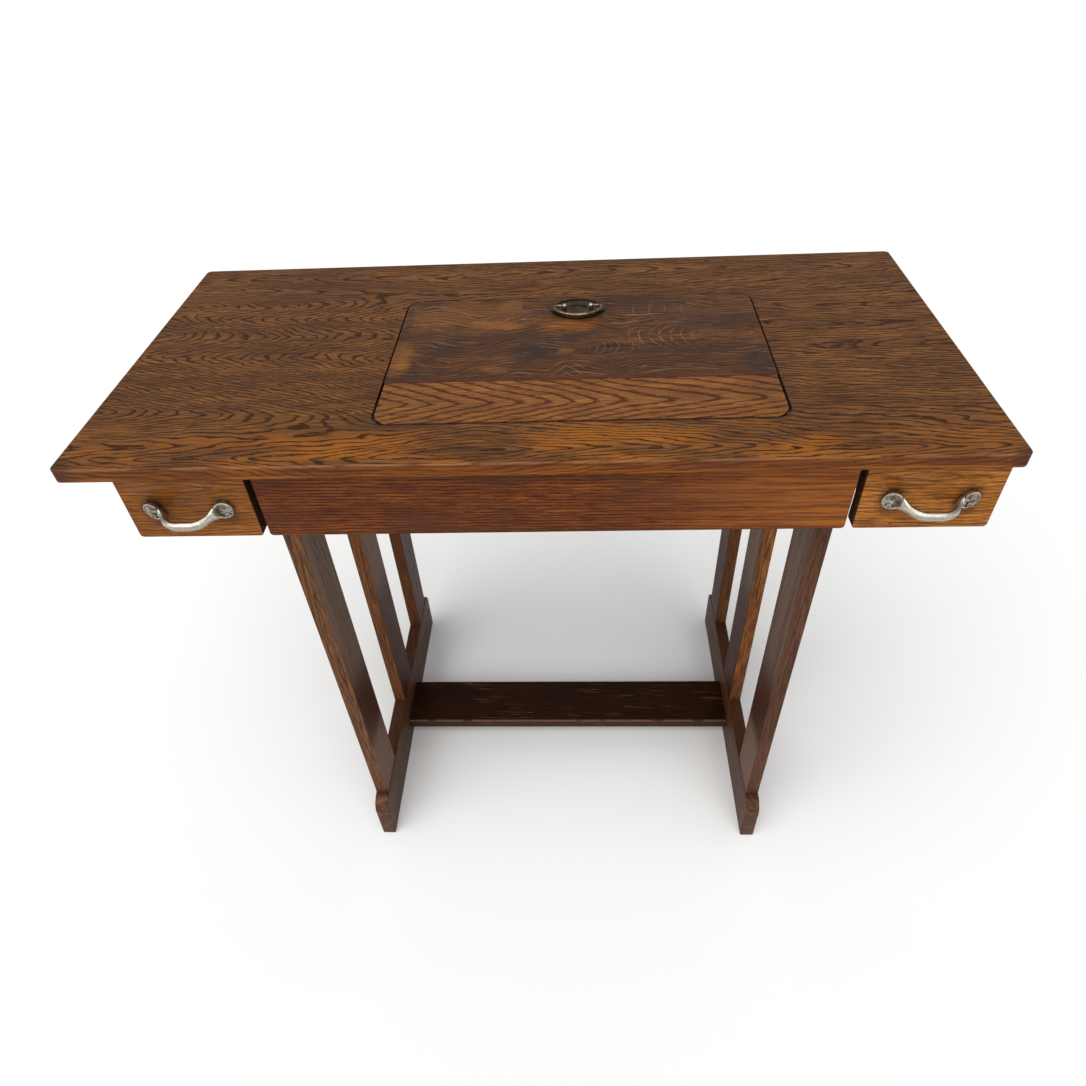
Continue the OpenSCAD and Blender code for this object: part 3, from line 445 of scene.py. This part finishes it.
# Painted shade: the sawn edges of the lid almost black in the gaps round it.
colour = colour.tint(side_face(z) * 0.85, (0.010, 0.006, 0.005))
gloss = 0.36 + 0.2 * pores + 0.20 * x.noise(x * 9.0, y * 14.0, 4.0, 3.0)
lay_coat(lid_finish, colour, gloss, 1.0 - pores * 0.7, 0.00020, 0.14)
lid.data.materials.append(lid_finish)


# Front flap. A plain-sawn strip of lighter oak whose growth rings run to points towards the right
# end. It drops on two butt hinges and stands clear of the top all round.
flap = eased("front_flap", "flap", "flap", width=0.0009)
flap_finish, (x, y, z) = new_finish("flap_oak")
tips_y = -0.121
rings = fold(y, tips_y, 0.004) + (tips_y - y).above(0.0) * 0.4 + z
rings = rings + x * 0.27 + x.below(0.11) * 0.18
flap_tones = (
    (0.215, 0.077, 0.0165), (0.310, 0.119, 0.0255), (0.150, 0.058, 0.0165), (0.052, 0.0150, 0.0045)
)
colour, pores = oak(
    x, y + z - face_z, rings, 0.0135, flap_tones, 4.0, wander=0.75, lines=0.90, shades=(0.8, 0.5)
)
# Painted shade: the front face and the sawn edges of the flap almost black in the gaps round it.
arris = y.step(flap_front + 0.0014, flap_front + 0.0006)
colour = colour.tint(arris * 0.8, (0.012, 0.007, 0.005))
colour = colour.tint(side_face(z) * 0.85, (0.014, 0.008, 0.006))
gloss = 0.40 + 0.25 * pores + 0.10 * x.noise(x * 6.0, y * 14.0, 0.0, 2.0)
lay_coat(flap_finish, colour, gloss, 1.0 - pores, 0.00025, 0.13)
flap.data.materials.append(flap_finish)


# Flap hinges. Two small butt hinges of brass, screwed to the undersides of the top and the flap.
# The brass has gone brown, and is brighter where the leaves rub.
def metal(name, bright, dull, roughness, scale):
    """A metal finish with dull spots in it, about as many to the metre as the scale."""
    finish, (x, y, z) = new_finish(name)
    spots = x.noise(x * scale, y * scale, z * scale, 3.0, 0.6)
    colour = x.plain(bright).tint(spots.step(0.42, 0.68) * 0.7, dull)
    lay_coat(finish, colour, roughness + 0.25 * spots, spots, 0.00004, metallic=1.0)
    return finish


def dress(node, finish):
    """Gives a piece that stays as built its finish."""
    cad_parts[node].data.materials.clear()
    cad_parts[node].data.materials.append(finish)


hinge_finish = metal("hinge_brass", (0.36, 0.25, 0.10), (0.10, 0.065, 0.03), 0.30, 90.0)
for node in ("flap_hinge_fixed_leaves", "flap_hinge_pins", "flap_hinge_fixed_screws",
             "flap_hinge_moving_leaves", "flap_hinge_moving_screws"):
    dress(node, hinge_finish)


# Ledges, corner blocks, hangers and drawer stops. Strips of straight-grained softwood left bare
# under the top, glued or screwed with steel screws whose slots show from below.
def bare_wood(name, crosswise, ring, tones, seed, wander):
    """A finish of wood left bare, with its grain across the table or else from front to back."""
    finish, (x, y, z) = new_finish(name)
    along, beside = (x, y) if crosswise else (y, x)
    across, rings = z + beside * 0.8, z + beside * 0.6
    colour, pores = oak(along, across, rings, ring, tones, seed, wander=wander, lines=0.4)
    lay_coat(finish, colour, 0.65 + 0.1 * pores, 1.0 - pores, 0.0002, 0.3)
    return finish


strip_tones = (
    (0.210, 0.120, 0.060), (0.280, 0.170, 0.085), (0.150, 0.085, 0.045), (0.090, 0.045, 0.022)
)
strip_across = bare_wood("bare_strip_crosswise", True, 0.0042, strip_tones, 31.0, 0.3)
strip_back = bare_wood("bare_strip_lengthwise", False, 0.0042, strip_tones, 37.0, 0.3)
for node, finish in (
    ("left_lid_ledge", strip_back),
    ("right_lid_ledge", strip_back),
    ("rear_lid_ledge", strip_across),
    ("left_outer_hanger", strip_back),
    ("left_inner_hanger", strip_back),
    ("right_inner_hanger", strip_back),
    ("right_outer_hanger", strip_back),
    ("left_drawer_stop", strip_across),
    ("right_drawer_stop", strip_across),
    ("corner_blocks", strip_across),
):
    strip = eased(node, node + "_strip", "table", width=0.0007, segments=2)
    strip.data.materials.append(finish)
steel_finish = metal("screw_steel", (0.30, 0.28, 0.25), (0.09, 0.075, 0.06), 0.32, 300.0)
for node in ("corner_block_screws", "ledge_screws", "hanger_screws"):
    dress(node, steel_finish)


# Bail pull. An oval plate of dark brass with a raised rim, two ball-headed posts that go through
# it and are held by nuts under the lid, and a bail of round wire that turns in the balls.
# The posts get a much paler brass than the plate: painted highlight on their balls.
for node, bright, dull in (
    ("pull_plate", (0.088, 0.056, 0.028), (0.030, 0.020, 0.011)),
    ("pull_posts", (0.430, 0.350, 0.250), (0.160, 0.120, 0.075)),
):
    name = node + "_brass"
    casting = eased(node, name, "lid", width=0.0003, segments=2, least=1e-9)
    casting.data.materials.append(metal(name, bright, dull, 0.26, 160.0))
dress("pull_nuts", hinge_finish)

wire = 0.0020
bail_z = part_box("pull_bail")[1].z - wire
facing_end = (0.0, math.pi / 2.0, 0.0)
bpy.ops.mesh.primitive_circle_add(
    vertices=20, radius=wire, location=(0.0, -0.025, 0.0), rotation=facing_end
)
bail = bpy.context.object
bail.name = "bail_wire"
bpy.ops.object.transform_apply(location=True, rotation=True, scale=True)
bpy.ops.object.mode_set(mode="EDIT")
bpy.ops.mesh.select_all(action="SELECT")
# The bends from the middle of the bail to its end: degrees, steps and the middle of each bend.
for angle, steps, heart in (
    (49.13, 14, (0.0, 0.01014, 0.0)),
    (40.87, 8, (0.0175, -0.005, 0.0)),
    (90.0, 12, (0.0245, -0.005, 0.0)),
):
    bpy.ops.mesh.spin(steps=steps, angle=math.radians(angle), center=heart, axis=(0.0, 0.0, -1.0))
# The straight end, its shoulder, and the thinner pin inside the ball.
bpy.ops.mesh.extrude_region_move(TRANSFORM_OT_translate={"value": (-0.0035, 0.0, 0.0)})
bpy.ops.mesh.extrude_region_move(TRANSFORM_OT_translate={"value": (-0.0004, 0.0, 0.0)})
bpy.ops.transform.resize(value=(1.0, 0.75, 0.75), center_override=(0.0206, 0.0, 0.0))
bpy.ops.mesh.extrude_region_move(TRANSFORM_OT_translate={"value": (-0.0071, 0.0, 0.0)})
bpy.ops.mesh.edge_face_add()
bpy.ops.object.mode_set(mode="OBJECT")
halves = bail.modifiers.new("halves", "MIRROR")
halves.use_axis = (True, False, False)
halves.merge_threshold = 0.00001
bpy.ops.object.modifier_apply(modifier=halves.name)
bail.data.transform(Matrix.Translation((*pull_spot, bail_z)))
bpy.ops.object.mode_set(mode="EDIT")
bpy.ops.mesh.select_all(action="SELECT")
bpy.ops.mesh.normals_make_consistent(inside=False)
bpy.ops.object.mode_set(mode="OBJECT")
bpy.ops.object.shade_smooth_by_angle(angle=math.radians(40.0))
bail_finish = metal("bail_brass", (0.260, 0.188, 0.105), (0.066, 0.046, 0.026), 0.24, 160.0)
bail.data.materials.append(bail_finish)
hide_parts("pull_bail")
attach(bail, "bail")


# Aprons and top rails. Reddish straight-grained oak boards set back under the top, screwed across
# the ends of the two end frames, with the corners rounded below.
apron_tones = (
    (0.148, 0.038, 0.0085), (0.230, 0.066, 0.0135), (0.092, 0.024, 0.0070), (0.030, 0.0080, 0.0028)
)
apron_finish, (x, y, z) = new_finish("apron_oak")
across = z + y * 0.7
rings = across + x * 0.015
colour, pores = oak(
    x, across, rings, 0.0042, apron_tones, 41.0, wander=0.45, lines=0.80, shades=(0.9, 0.65)
)
mottle = x.noise(x * 8.0, z * 24.0 + y * 16.0, 4.0, 5.0, 0.65).step(0.46, 0.60)
colour = colour.tint(mottle * 0.55, (0.070, 0.024, 0.014))
streaks = x.noise(x * 7.0, z * 130.0 + y * 90.0, 6.0, 3.0, 0.6).step(0.42, 0.60)
colour = colour.tint(x.step(0.06, 0.34) * (0.20 + 0.55 * streaks), (0.360, 0.112, 0.0170))
apron_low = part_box("front_apron")[0].z
lower_edge = z.step(apron_low + 0.0085, apron_low + 0.0015)
colour = colour.tint(lower_edge * 0.35, (0.060, 0.016, 0.006))
gloss = 0.42 + 0.2 * pores + 0.1 * x.noise(x * 7.0, z * 20.0, 0.0, 2.0)
lay_coat(apron_finish, colour, gloss, 1.0 - pores, 0.0002, 0.08)
rail_finish, (x, y, z) = new_finish("rail_oak")
across = z + x * 0.7
colour, pores = oak(y, across, across, 0.0042, apron_tones, 43.0, wander=0.45, lines=0.50)
lay_coat(rail_finish, colour, 0.42 + 0.2 * pores, 1.0 - pores, 0.0002, 0.12)
for node, finish in (
    ("front_apron", apron_finish),
    ("rear_apron", apron_finish),
    ("left_top_rail", rail_finish),
    ("right_top_rail", rail_finish),
):
    board = eased(node, node + "_board", "table", width=0.0010)
    board.data.materials.append(finish)


# Legs. Six broad slats of oak with the grain upright, tenoned into the rails and the feet. Their
# narrow faces are warm with looped figure, and the broad faces are painted grey as reflection of
# the pale sky. Below the knee the faces towards the sitter are darker.
legs = (
    # The colours of its wood, its pale parts and the painted sky reflection on its broad faces, and
    # how dark its pores are.
    ("left_front_leg", (0.160, 0.070, 0.028), (0.235, 0.108, 0.042), (0.092, 0.050, 0.033), 0.60),
    ("left_middle_leg", (0.165, 0.060, 0.017), (0.225, 0.085, 0.024), (0.118, 0.066, 0.043), 0.40),
    ("left_rear_leg", (0.120, 0.039, 0.008), (0.165, 0.056, 0.011), (0.165, 0.102, 0.062), 0.40),
    ("right_front_leg", (0.086, 0.036, 0.021), (0.121, 0.051, 0.029), (0.092, 0.050, 0.033), 0.40),
    ("right_middle_leg", (0.250, 0.088, 0.021), (0.345, 0.130, 0.031), (0.092, 0.050, 0.033), 0.30),
    ("right_rear_leg", (0.150, 0.055, 0.015), (0.205, 0.077, 0.022), (0.097, 0.051, 0.030), 0.30),
)
foot_low, foot_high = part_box("left_foot")
for index, (node, wood, pale, handling_and_sky_grey, darkness) in enumerate(legs):
    leg_finish, (x, y, z) = new_finish(node + "_oak")
    low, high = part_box(node)
    middle = (low + high) / 2.0
    seed = 51.0 + 3.0 * index
    broad = (x - middle.x).size().step(0.0086, 0.0096)
    inward = ((x - middle.x) * math.copysign(1.0, -middle.x)).step(0.0086, 0.0096)
    rings = fold(x, middle.x + 0.003, 0.003) + fold(z, 0.40, 0.05) * 0.07 + (y - middle.y) * 0.55
    leg_tones = (wood, pale, (0.085, 0.034, 0.015), (0.038, 0.014, 0.006))
    across = x + (y - middle.y) * 1.1
    lines = (1.0 - broad * 0.80) * darkness
    colour, pores = oak(z, across, rings, 0.0052, leg_tones, seed, wander=0.5, lines=lines)
    # Painted reflection of the pale sky on the broad faces, grey in patches.
    reflection_patches = z.noise(z * 6.0 + seed, y * 40.0, 2.0, 3.0, 0.6).step(0.30, 0.60)
    colour = colour.tint(broad * (0.60 + 0.30 * reflection_patches), handling_and_sky_grey)
    rubbed = z.noise(z * 3.0 + seed, y * 55.0, 8.0, 2.0, 0.5).step(0.48, 0.62)
    rubbed = rubbed * z.step(0.30, 0.50)
    colour = colour.tint(broad * rubbed * 0.50, (0.185, 0.105, 0.062))
    below_knee = z.step(0.395, 0.315) * (0.25 + inward * 0.70)
    colour = colour.tint(below_knee, (0.046, 0.0095, 0.0016))
    if "front" in node:
        # Painted reflection of the pale sky: grey low on the front legs by the foot.
        foot_sky_reflection = z.step(0.238, 0.200) * (0.15 + inward * 0.75)
        colour = colour.tint(foot_sky_reflection, (0.150, 0.074, 0.046))
    if node == "left_middle_leg":
        nail = patch(y, z, (0.013, 0.352), (0.0016, 0.0024), 0.0, 0.2) * inward
        colour = colour.tint(nail * 0.9, (0.008, 0.005, 0.004))
    # Painted shadow where the legs meet the feet.
    foot_contact_shadow = z.step(foot_high.z + 0.0205, foot_high.z - 0.0010)
    colour = colour.tint(foot_contact_shadow * 0.45, (0.040, 0.020, 0.013))
    gloss = 0.40 + 0.2 * pores + 0.1 * z.noise(z * 7.0, y * 20.0, 0.0, 2.0)
    lay_coat(leg_finish, colour, gloss, 1.0 - pores, 0.0002, 0.08)
    slat = eased(node, node + "_slat", "table", width=0.0010)
    slat.data.materials.append(leg_finish)


# Feet. A long runner of oak under each end frame, which holds the tenons of its three legs. The
# rounded toes are rubbed bright by shoes.
foot_finish, (x, y, z) = new_finish("foot_oak")
rings = fold(z, 0.05, 0.004) + x * 0.5 + y * 0.03
foot_tones = (
    (0.086, 0.034, 0.0150), (0.128, 0.052, 0.0220), (0.070, 0.034, 0.0200), (0.026, 0.010, 0.0050)
)
colour, pores = oak(y, z + x * 0.8, rings, 0.0052, foot_tones, 71.0, wander=0.5, lines=0.45)
toe = (y - (foot_low.y + foot_high.y) / 2.0).size().step(0.205, 0.230)
scuffs = x.noise(x * 60.0, y * 40.0, z * 90.0, 3.0, 0.6).step(0.47, 0.66)
colour = colour.tint(scuffs * toe * 0.45, (0.240, 0.130, 0.075))
upper_face = z.step(foot_high.z - 0.0027, foot_high.z - 0.0010) * (1.0 - toe)
colour = colour.tint(upper_face * 0.6, (0.040, 0.012, 0.006))
front_end = y.step(foot_low.y + 0.012, foot_low.y + 0.003) * z.step(0.075, 0.055)
colour = colour.tint(front_end * 0.5, (0.062, 0.021, 0.012))
lay_coat(foot_finish, colour, 0.42 + 0.2 * pores, 1.0 - pores, 0.0002, 0.10)
for side in ("left", "right"):
    runner = eased(side + "_foot", side + "_foot_runner", "table", width=0.0016)
    runner.data.materials.append(foot_finish)


# Foot board. A wide flat stretcher tenoned into both feet, stained almost black, with the stain
# worn through in orange streaks where feet have rested.
stretcher_finish, (x, y, z) = new_finish("stretcher_oak")
across = y + z * 0.8
board_tones = (
    (0.023, 0.0066, 0.0019), (0.036, 0.0104, 0.0026), (0.015, 0.0048, 0.0018), (0.007, 0.0024, 0.0010)
)
colour, pores = oak(
    x, across, across + x * 0.03, 0.0060, board_tones, 81.0, wander=0.6, lines=0.6
)
rested = x.noise(x * 16.0, y * 420.0 + x * 20.0, z * 60.0, 3.0, 0.7).step(0.58, 0.66)
rested = rested * x.noise(x * 7.0, y * 30.0, 5.0, 2.0).step(0.48, 0.59)
colour = colour.tint(rested * 0.70, (0.165, 0.068, 0.021))
board_low, board_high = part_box("stretcher")
front_face = y.step(board_low.y + 0.0015, board_low.y + 0.0002)
colour = colour.tint(front_face * 0.7, (0.058, 0.028, 0.015))
arris = y.step(board_low.y + 0.0035, board_low.y + 0.0015)
arris = arris * z.step(board_high.z - 0.0030, board_high.z - 0.0012)
arris = arris * x.noise(x * 30.0, 0.0, 1.0, 2.0).step(0.30, 0.50)
colour = colour.tint(arris * 0.6, (0.170, 0.105, 0.075))
lay_coat(stretcher_finish, colour, 0.42 + 0.2 * pores, 1.0 - pores, 0.0002, 0.07)
foot_board = eased("stretcher", "foot_board", "table", width=0.0018)
foot_board.data.materials.append(stretcher_finish)


# Drawer fronts. Golden oak boards with the grain lying across, rounded below, dark with old
# polish round the ends of the handles.
drawers = (
    # The x of its middle, and the colours of its wood and of its pale parts.
    ("left", -0.3613, (0.235, 0.078, 0.0110), (0.345, 0.126, 0.0190)),
    ("right", 0.4053, (0.370, 0.128, 0.0185), (0.500, 0.194, 0.0300)),
)
screw_out = 0.0385
for side, heart, wood, pale in drawers:
    front_finish, (x, y, z) = new_finish(side + "_front_oak")
    front_low, front_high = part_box(side + "_drawer_front")
    half_wide = (front_high.x - front_low.x) / 2.0
    rings = fold(z, 0.726, 0.004) + fold(x, heart - 0.01, 0.01) * 0.05 + y * 0.7
    front_tones = (wood, pale, (0.165, 0.053, 0.0120), (0.062, 0.019, 0.0050))
    seed = 91.0 + heart * 9.0
    colour, pores = oak(x, z + y * 0.7, rings, 0.0044, front_tones, seed, wander=0.45, lines=0.58)
    for screw_x in (heart - screw_out, heart + screw_out):
        polish = patch(x, z, (screw_x, 0.697), (0.0135, 0.0185), 0.0, 0.35, 0.35)
        colour = colour.tint(polish * 0.55, (0.050, 0.022, 0.010))
    inward = (x - heart) * math.copysign(1.0, -heart)
    # Painted shade: the inner end of each front almost black in the gap by the apron.
    shaded_inner_end = inward.step(half_wide - 0.0010, half_wide - 0.0002)
    colour = colour.tint(shaded_inner_end * 0.85, (0.012, 0.006, 0.004))
    hole = patch(x, z, (0.3747, 0.6657), (0.0013, 0.0010), 0.0, 0.2)
    hole = hole * y.step(front_low.y + 0.0015, front_low.y + 0.0005)
    colour = colour.tint(hole * 0.9, (0.010, 0.005, 0.003))
    lay_coat(front_finish, colour, 0.40 + 0.2 * pores, 1.0 - pores, 0.0002, 0.10)
    front = eased(
        side + "_drawer_front", side + "_front", side + "_drawer",
        width=0.0010, crisp_from=-0.2005,
    )
    front.data.materials.append(front_finish)


# Drawer boxes. Sides, back and slide strips of pale bare wood and a thin bottom, grooved and glued
# together, dusty with age.
box_tones = ((0.44, 0.29, 0.16), (0.54, 0.38, 0.22), (0.33, 0.22, 0.13), (0.22, 0.125, 0.06))
box_finish = bare_wood("drawer_wood", False, 0.0046, box_tones, 101.0, 0.4)
back_finish = bare_wood("drawer_wood_crosswise", True, 0.0046, box_tones, 107.0, 0.4)
for side, *_ in drawers:
    for part in ("outer_side", "inner_side", "back", "bottom", "slides"):
        node = side + "_drawer_" + part
        wall = eased(node, node + "_wood", side + "_drawer", width=0.0005, segments=2)
        wall.data.materials.append(back_finish if part == "back" else box_finish)


# Handles. Each is one pewter-coloured casting: a faceted bow that flares at both ends into oval
# cups cut off aslant, with a screw through the floor of each cup and low lobes below the screw.
def pick_front(piece):
    """Selects the faces of a piece that look to the front, and leaves it in edit mode."""
    bpy.ops.object.mode_set(mode="EDIT")
    bpy.ops.mesh.select_mode(type="FACE")
    bpy.ops.mesh.select_all(action="DESELECT")
    bpy.ops.object.mode_set(mode="OBJECT")
    for face in piece.data.polygons:
        face.select = face.normal.y < -0.9
    bpy.ops.object.mode_set(mode="EDIT")


def cast_on(whole, piece):
    """Makes a piece part of the whole casting."""
    bpy.ops.object.select_all(action="DESELECT")
    piece.select_set(True)
    whole.select_set(True)
    bpy.context.view_layer.objects.active = whole
    bpy.ops.object.join()


def both_ends(piece):
    """Mirrors a half of the handle to the other end."""
    bpy.ops.object.mode_set(mode="OBJECT")
    halves = piece.modifiers.new("halves", "MIRROR")
    halves.merge_threshold = 0.0001
    bpy.ops.object.modifier_apply(modifier=halves.name)


def melted(piece, size, rounds):
    """Runs the parts of a casting into one skin and takes off its sharpest corners."""
    melt = piece.modifiers.new("melt", "REMESH")
    melt.mode = "VOXEL"
    melt.voxel_size = size
    bpy.ops.object.modifier_apply(modifier=melt.name)
    worn = piece.modifiers.new("worn", "SMOOTH")
    worn.factor = 0.5
    worn.iterations = rounds
    bpy.ops.object.modifier_apply(modifier=worn.name)


def oval_end(name, radius, place, depth, wide=1.0, tall=1.0, flare=1.0):
    """An oval boss standing on the drawer front, as long as its depth, flared at its open end."""
    bpy.ops.mesh.primitive_circle_add(
        vertices=48, radius=radius, fill_type="NGON", location=place,
        rotation=(math.pi / 2.0, 0.0, 0.0),
    )
    boss = bpy.context.object
    boss.name = name
    bpy.ops.object.transform_apply(location=True, rotation=True, scale=True)
    bpy.ops.object.mode_set(mode="EDIT")
    bpy.ops.mesh.select_all(action="SELECT")
    bpy.ops.transform.resize(value=(wide, 1.0, tall), center_override=place)
    bpy.ops.mesh.extrude_region_move(TRANSFORM_OT_translate={"value": (0.0, -depth, 0.0)})
    bpy.ops.transform.resize(value=(flare, 1.0, flare), center_override=place)
    bpy.ops.mesh.select_all(action="SELECT")
    bpy.ops.mesh.normals_make_consistent(inside=False)
    return boss


bend_angle = math.radians(56.0)
slope = Vector((math.cos(bend_angle), math.sin(bend_angle), 0.0))
bow_middle = (0.0, -0.02334, 0.0)
bpy.ops.mesh.primitive_circle_add(
    vertices=8, radius=0.0052, location=bow_middle, rotation=facing_end
)
handle = bpy.context.object
handle.name = "handle_casting"
bpy.ops.object.transform_apply(location=True, rotation=True, scale=True)
bpy.ops.object.mode_set(mode="EDIT")
bpy.ops.mesh.select_all(action="SELECT")
bpy.ops.transform.resize(value=(1.0, 0.80, 1.05), center_override=bow_middle)
bend_x, bend_y, bend_radius = 0.006, -0.00234, 0.021
bpy.ops.mesh.extrude_region_move(TRANSFORM_OT_translate={"value": (bend_x, 0.0, 0.0)})
bpy.ops.mesh.spin(
    steps=12, angle=bend_angle, center=(bend_x, bend_y, 0.0), axis=(0.0, 0.0, -1.0)
)
reached = Vector((bend_x + bend_radius * slope.y, bend_y - bend_radius * slope.x, 0.0))
# The flare of the bow towards its cup: how far each length runs, and how much it swells.
for run, swell in ((0.003, 1.14), (0.003, 1.18), (0.003, 1.18), (0.003, 1.08), (0.005, 1.00)):
    onward = slope * run + Vector((0.0, 0.0, -0.0003))
    bpy.ops.mesh.extrude_region_move(TRANSFORM_OT_translate={"value": onward})
    reached = reached + onward
    bpy.ops.transform.resize(value=(1.0, 1.0, swell), center_override=reached)
bpy.ops.mesh.edge_face_add()
bpy.ops.mesh.select_all(action="SELECT")
# The bow hangs 5 mm lower at its middle, 22.8 mm out from the drawer front.
droop = math.atan2(5.0, 22.8)
bpy.ops.transform.rotate(value=-droop, orient_axis="X", center_override=(0.0, 0.0, 0.0))
bpy.ops.transform.translate(value=(0.0, 0.0, -0.0028))
both_ends(handle)
# Cups and lobes start a little inside the drawer front, and are cut off level with it below.
let_in = 0.002
cup_spot = (screw_out, let_in, -0.0020)
cup = oval_end("handle_cup", 0.010, cup_spot, depth=0.0150, wide=0.97, tall=1.15)
both_ends(cup)
cast_on(handle, cup)
melted(handle, size=0.00042, rounds=6)
bpy.ops.mesh.primitive_cube_add(size=0.060, location=(0.0465, -0.030, 0.0))
wedge = bpy.context.object
bpy.ops.object.transform_apply(location=True, rotation=True, scale=True)
bpy.ops.object.mode_set(mode="EDIT")
# A place on each of the wedge's two cut faces, and the way to the side that stays.
for place, outward in (
    ((0.0480, -0.0032, 0.0), (0.0038, -0.0170, -0.0022)),
    ((0.0259, -0.0158, 0.0), (slope.y, -slope.x, 0.0)),
):
    bpy.ops.mesh.select_all(action="SELECT")
    bpy.ops.mesh.bisect(plane_co=place, plane_no=outward, use_fill=True, clear_inner=True)
bpy.ops.mesh.select_all(action="SELECT")
bpy.ops.mesh.normals_make_consistent(inside=False)
both_ends(wedge)
scoop_spot = (0.0387, -0.0021, -0.0020)
scoop = oval_end("handle_scoop", 0.010, scoop_spot, depth=0.0200, wide=0.83, tall=1.01)
both_ends(scoop)
for tool in (wedge, scoop):
    bpy.context.view_layer.objects.active = handle
    cut = handle.modifiers.new("cut", "BOOLEAN")
    cut.operation = "DIFFERENCE"
    cut.solver = "EXACT"
    cut.object = tool
    bpy.ops.object.modifier_apply(modifier=cut.name)
    bpy.data.objects.remove(tool)
# Each lobe's radius, its place along and up the drawer front, its depth, and if it has a ring.
for radius, out, up, depth, ringed in (
    (0.0034, 0.0405, -0.0092, 0.0060, True),
    (0.0017, 0.0340, -0.0060, 0.0050, False),
    (0.0017, 0.0445, -0.0055, 0.0050, False),
    (0.0015, 0.0350, -0.0105, 0.0050, False),
):
    lobe = oval_end("handle_lobe", radius, (out, let_in, up), depth, flare=0.8)
    bpy.ops.object.mode_set(mode="OBJECT")
    if ringed:
        pick_front(lobe)
        bpy.ops.mesh.inset(thickness=0.0009)
        bpy.ops.mesh.extrude_region_move(TRANSFORM_OT_translate={"value": (0.0, 0.0010, 0.0)})
    both_ends(lobe)
    cast_on(handle, lobe)
bpy.ops.object.mode_set(mode="EDIT")
bpy.ops.mesh.select_all(action="SELECT")
bpy.ops.mesh.bisect(
    plane_co=(0.0, 0.0, 0.0), plane_no=(0.0, 1.0, 0.0), use_fill=True, clear_outer=True
)
bpy.ops.object.mode_set(mode="OBJECT")
bpy.ops.object.shade_smooth_by_angle(angle=math.radians(50.0))

front_y, handle_z = -0.2155, 0.702
pewter_finish, (x, y, z) = new_finish("pewter")
spots = x.noise(x * 260.0, y * 260.0, z * 260.0, 3.0, 0.6)
colour = x.plain((0.64, 0.60, 0.51)).tint(spots.step(0.42, 0.68) * 0.45, (0.26, 0.23, 0.18))
out, up = front_y - y, z - handle_z
# Painted shade above and below the crest of the bow, which stays pale as a painted highlight.
bow = out.step(0.0085, 0.0145)
shade_over_crest = up.step(-0.0040, -0.0028)
shade_under_crest = up.step(-0.0050, -0.0062) * up.step(-0.0124, -0.0112)
colour = colour.tint(shade_over_crest * bow * 0.60, (0.230, 0.210, 0.160))
colour = colour.tint(shade_under_crest * bow * 0.60, (0.260, 0.235, 0.185))
colour = colour.tint(out.step(0.0135, 0.0045) * 0.30, (0.220, 0.195, 0.150))
cup_floor = out.step(0.0050, 0.0030) * (0.25 + 0.55 * spots.step(0.38, 0.58))
colour = colour.tint(cup_floor, (0.130, 0.112, 0.088))
lay_coat(pewter_finish, colour, 0.24 + 0.30 * spots, spots, 0.00006, metallic=1.0)
worn_steel = metal("handle_screw_steel", (0.170, 0.150, 0.120), (0.040, 0.034, 0.027), 0.35, 300.0)
for side, heart, *_ in drawers:
    casting = bpy.data.objects.new(side + "_handle_casting", handle.data.copy())
    bpy.context.scene.collection.objects.link(casting)
    casting.data.transform(Matrix.Translation((heart, front_y, handle_z)))
    casting.data.materials.append(pewter_finish)
    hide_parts(side + "_handle")
    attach(casting, side + "_drawer")
    dress(side + "_handle_screws", worn_steel)
bpy.data.objects.remove(handle)


# The whole table's box after the looks.
low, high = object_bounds()
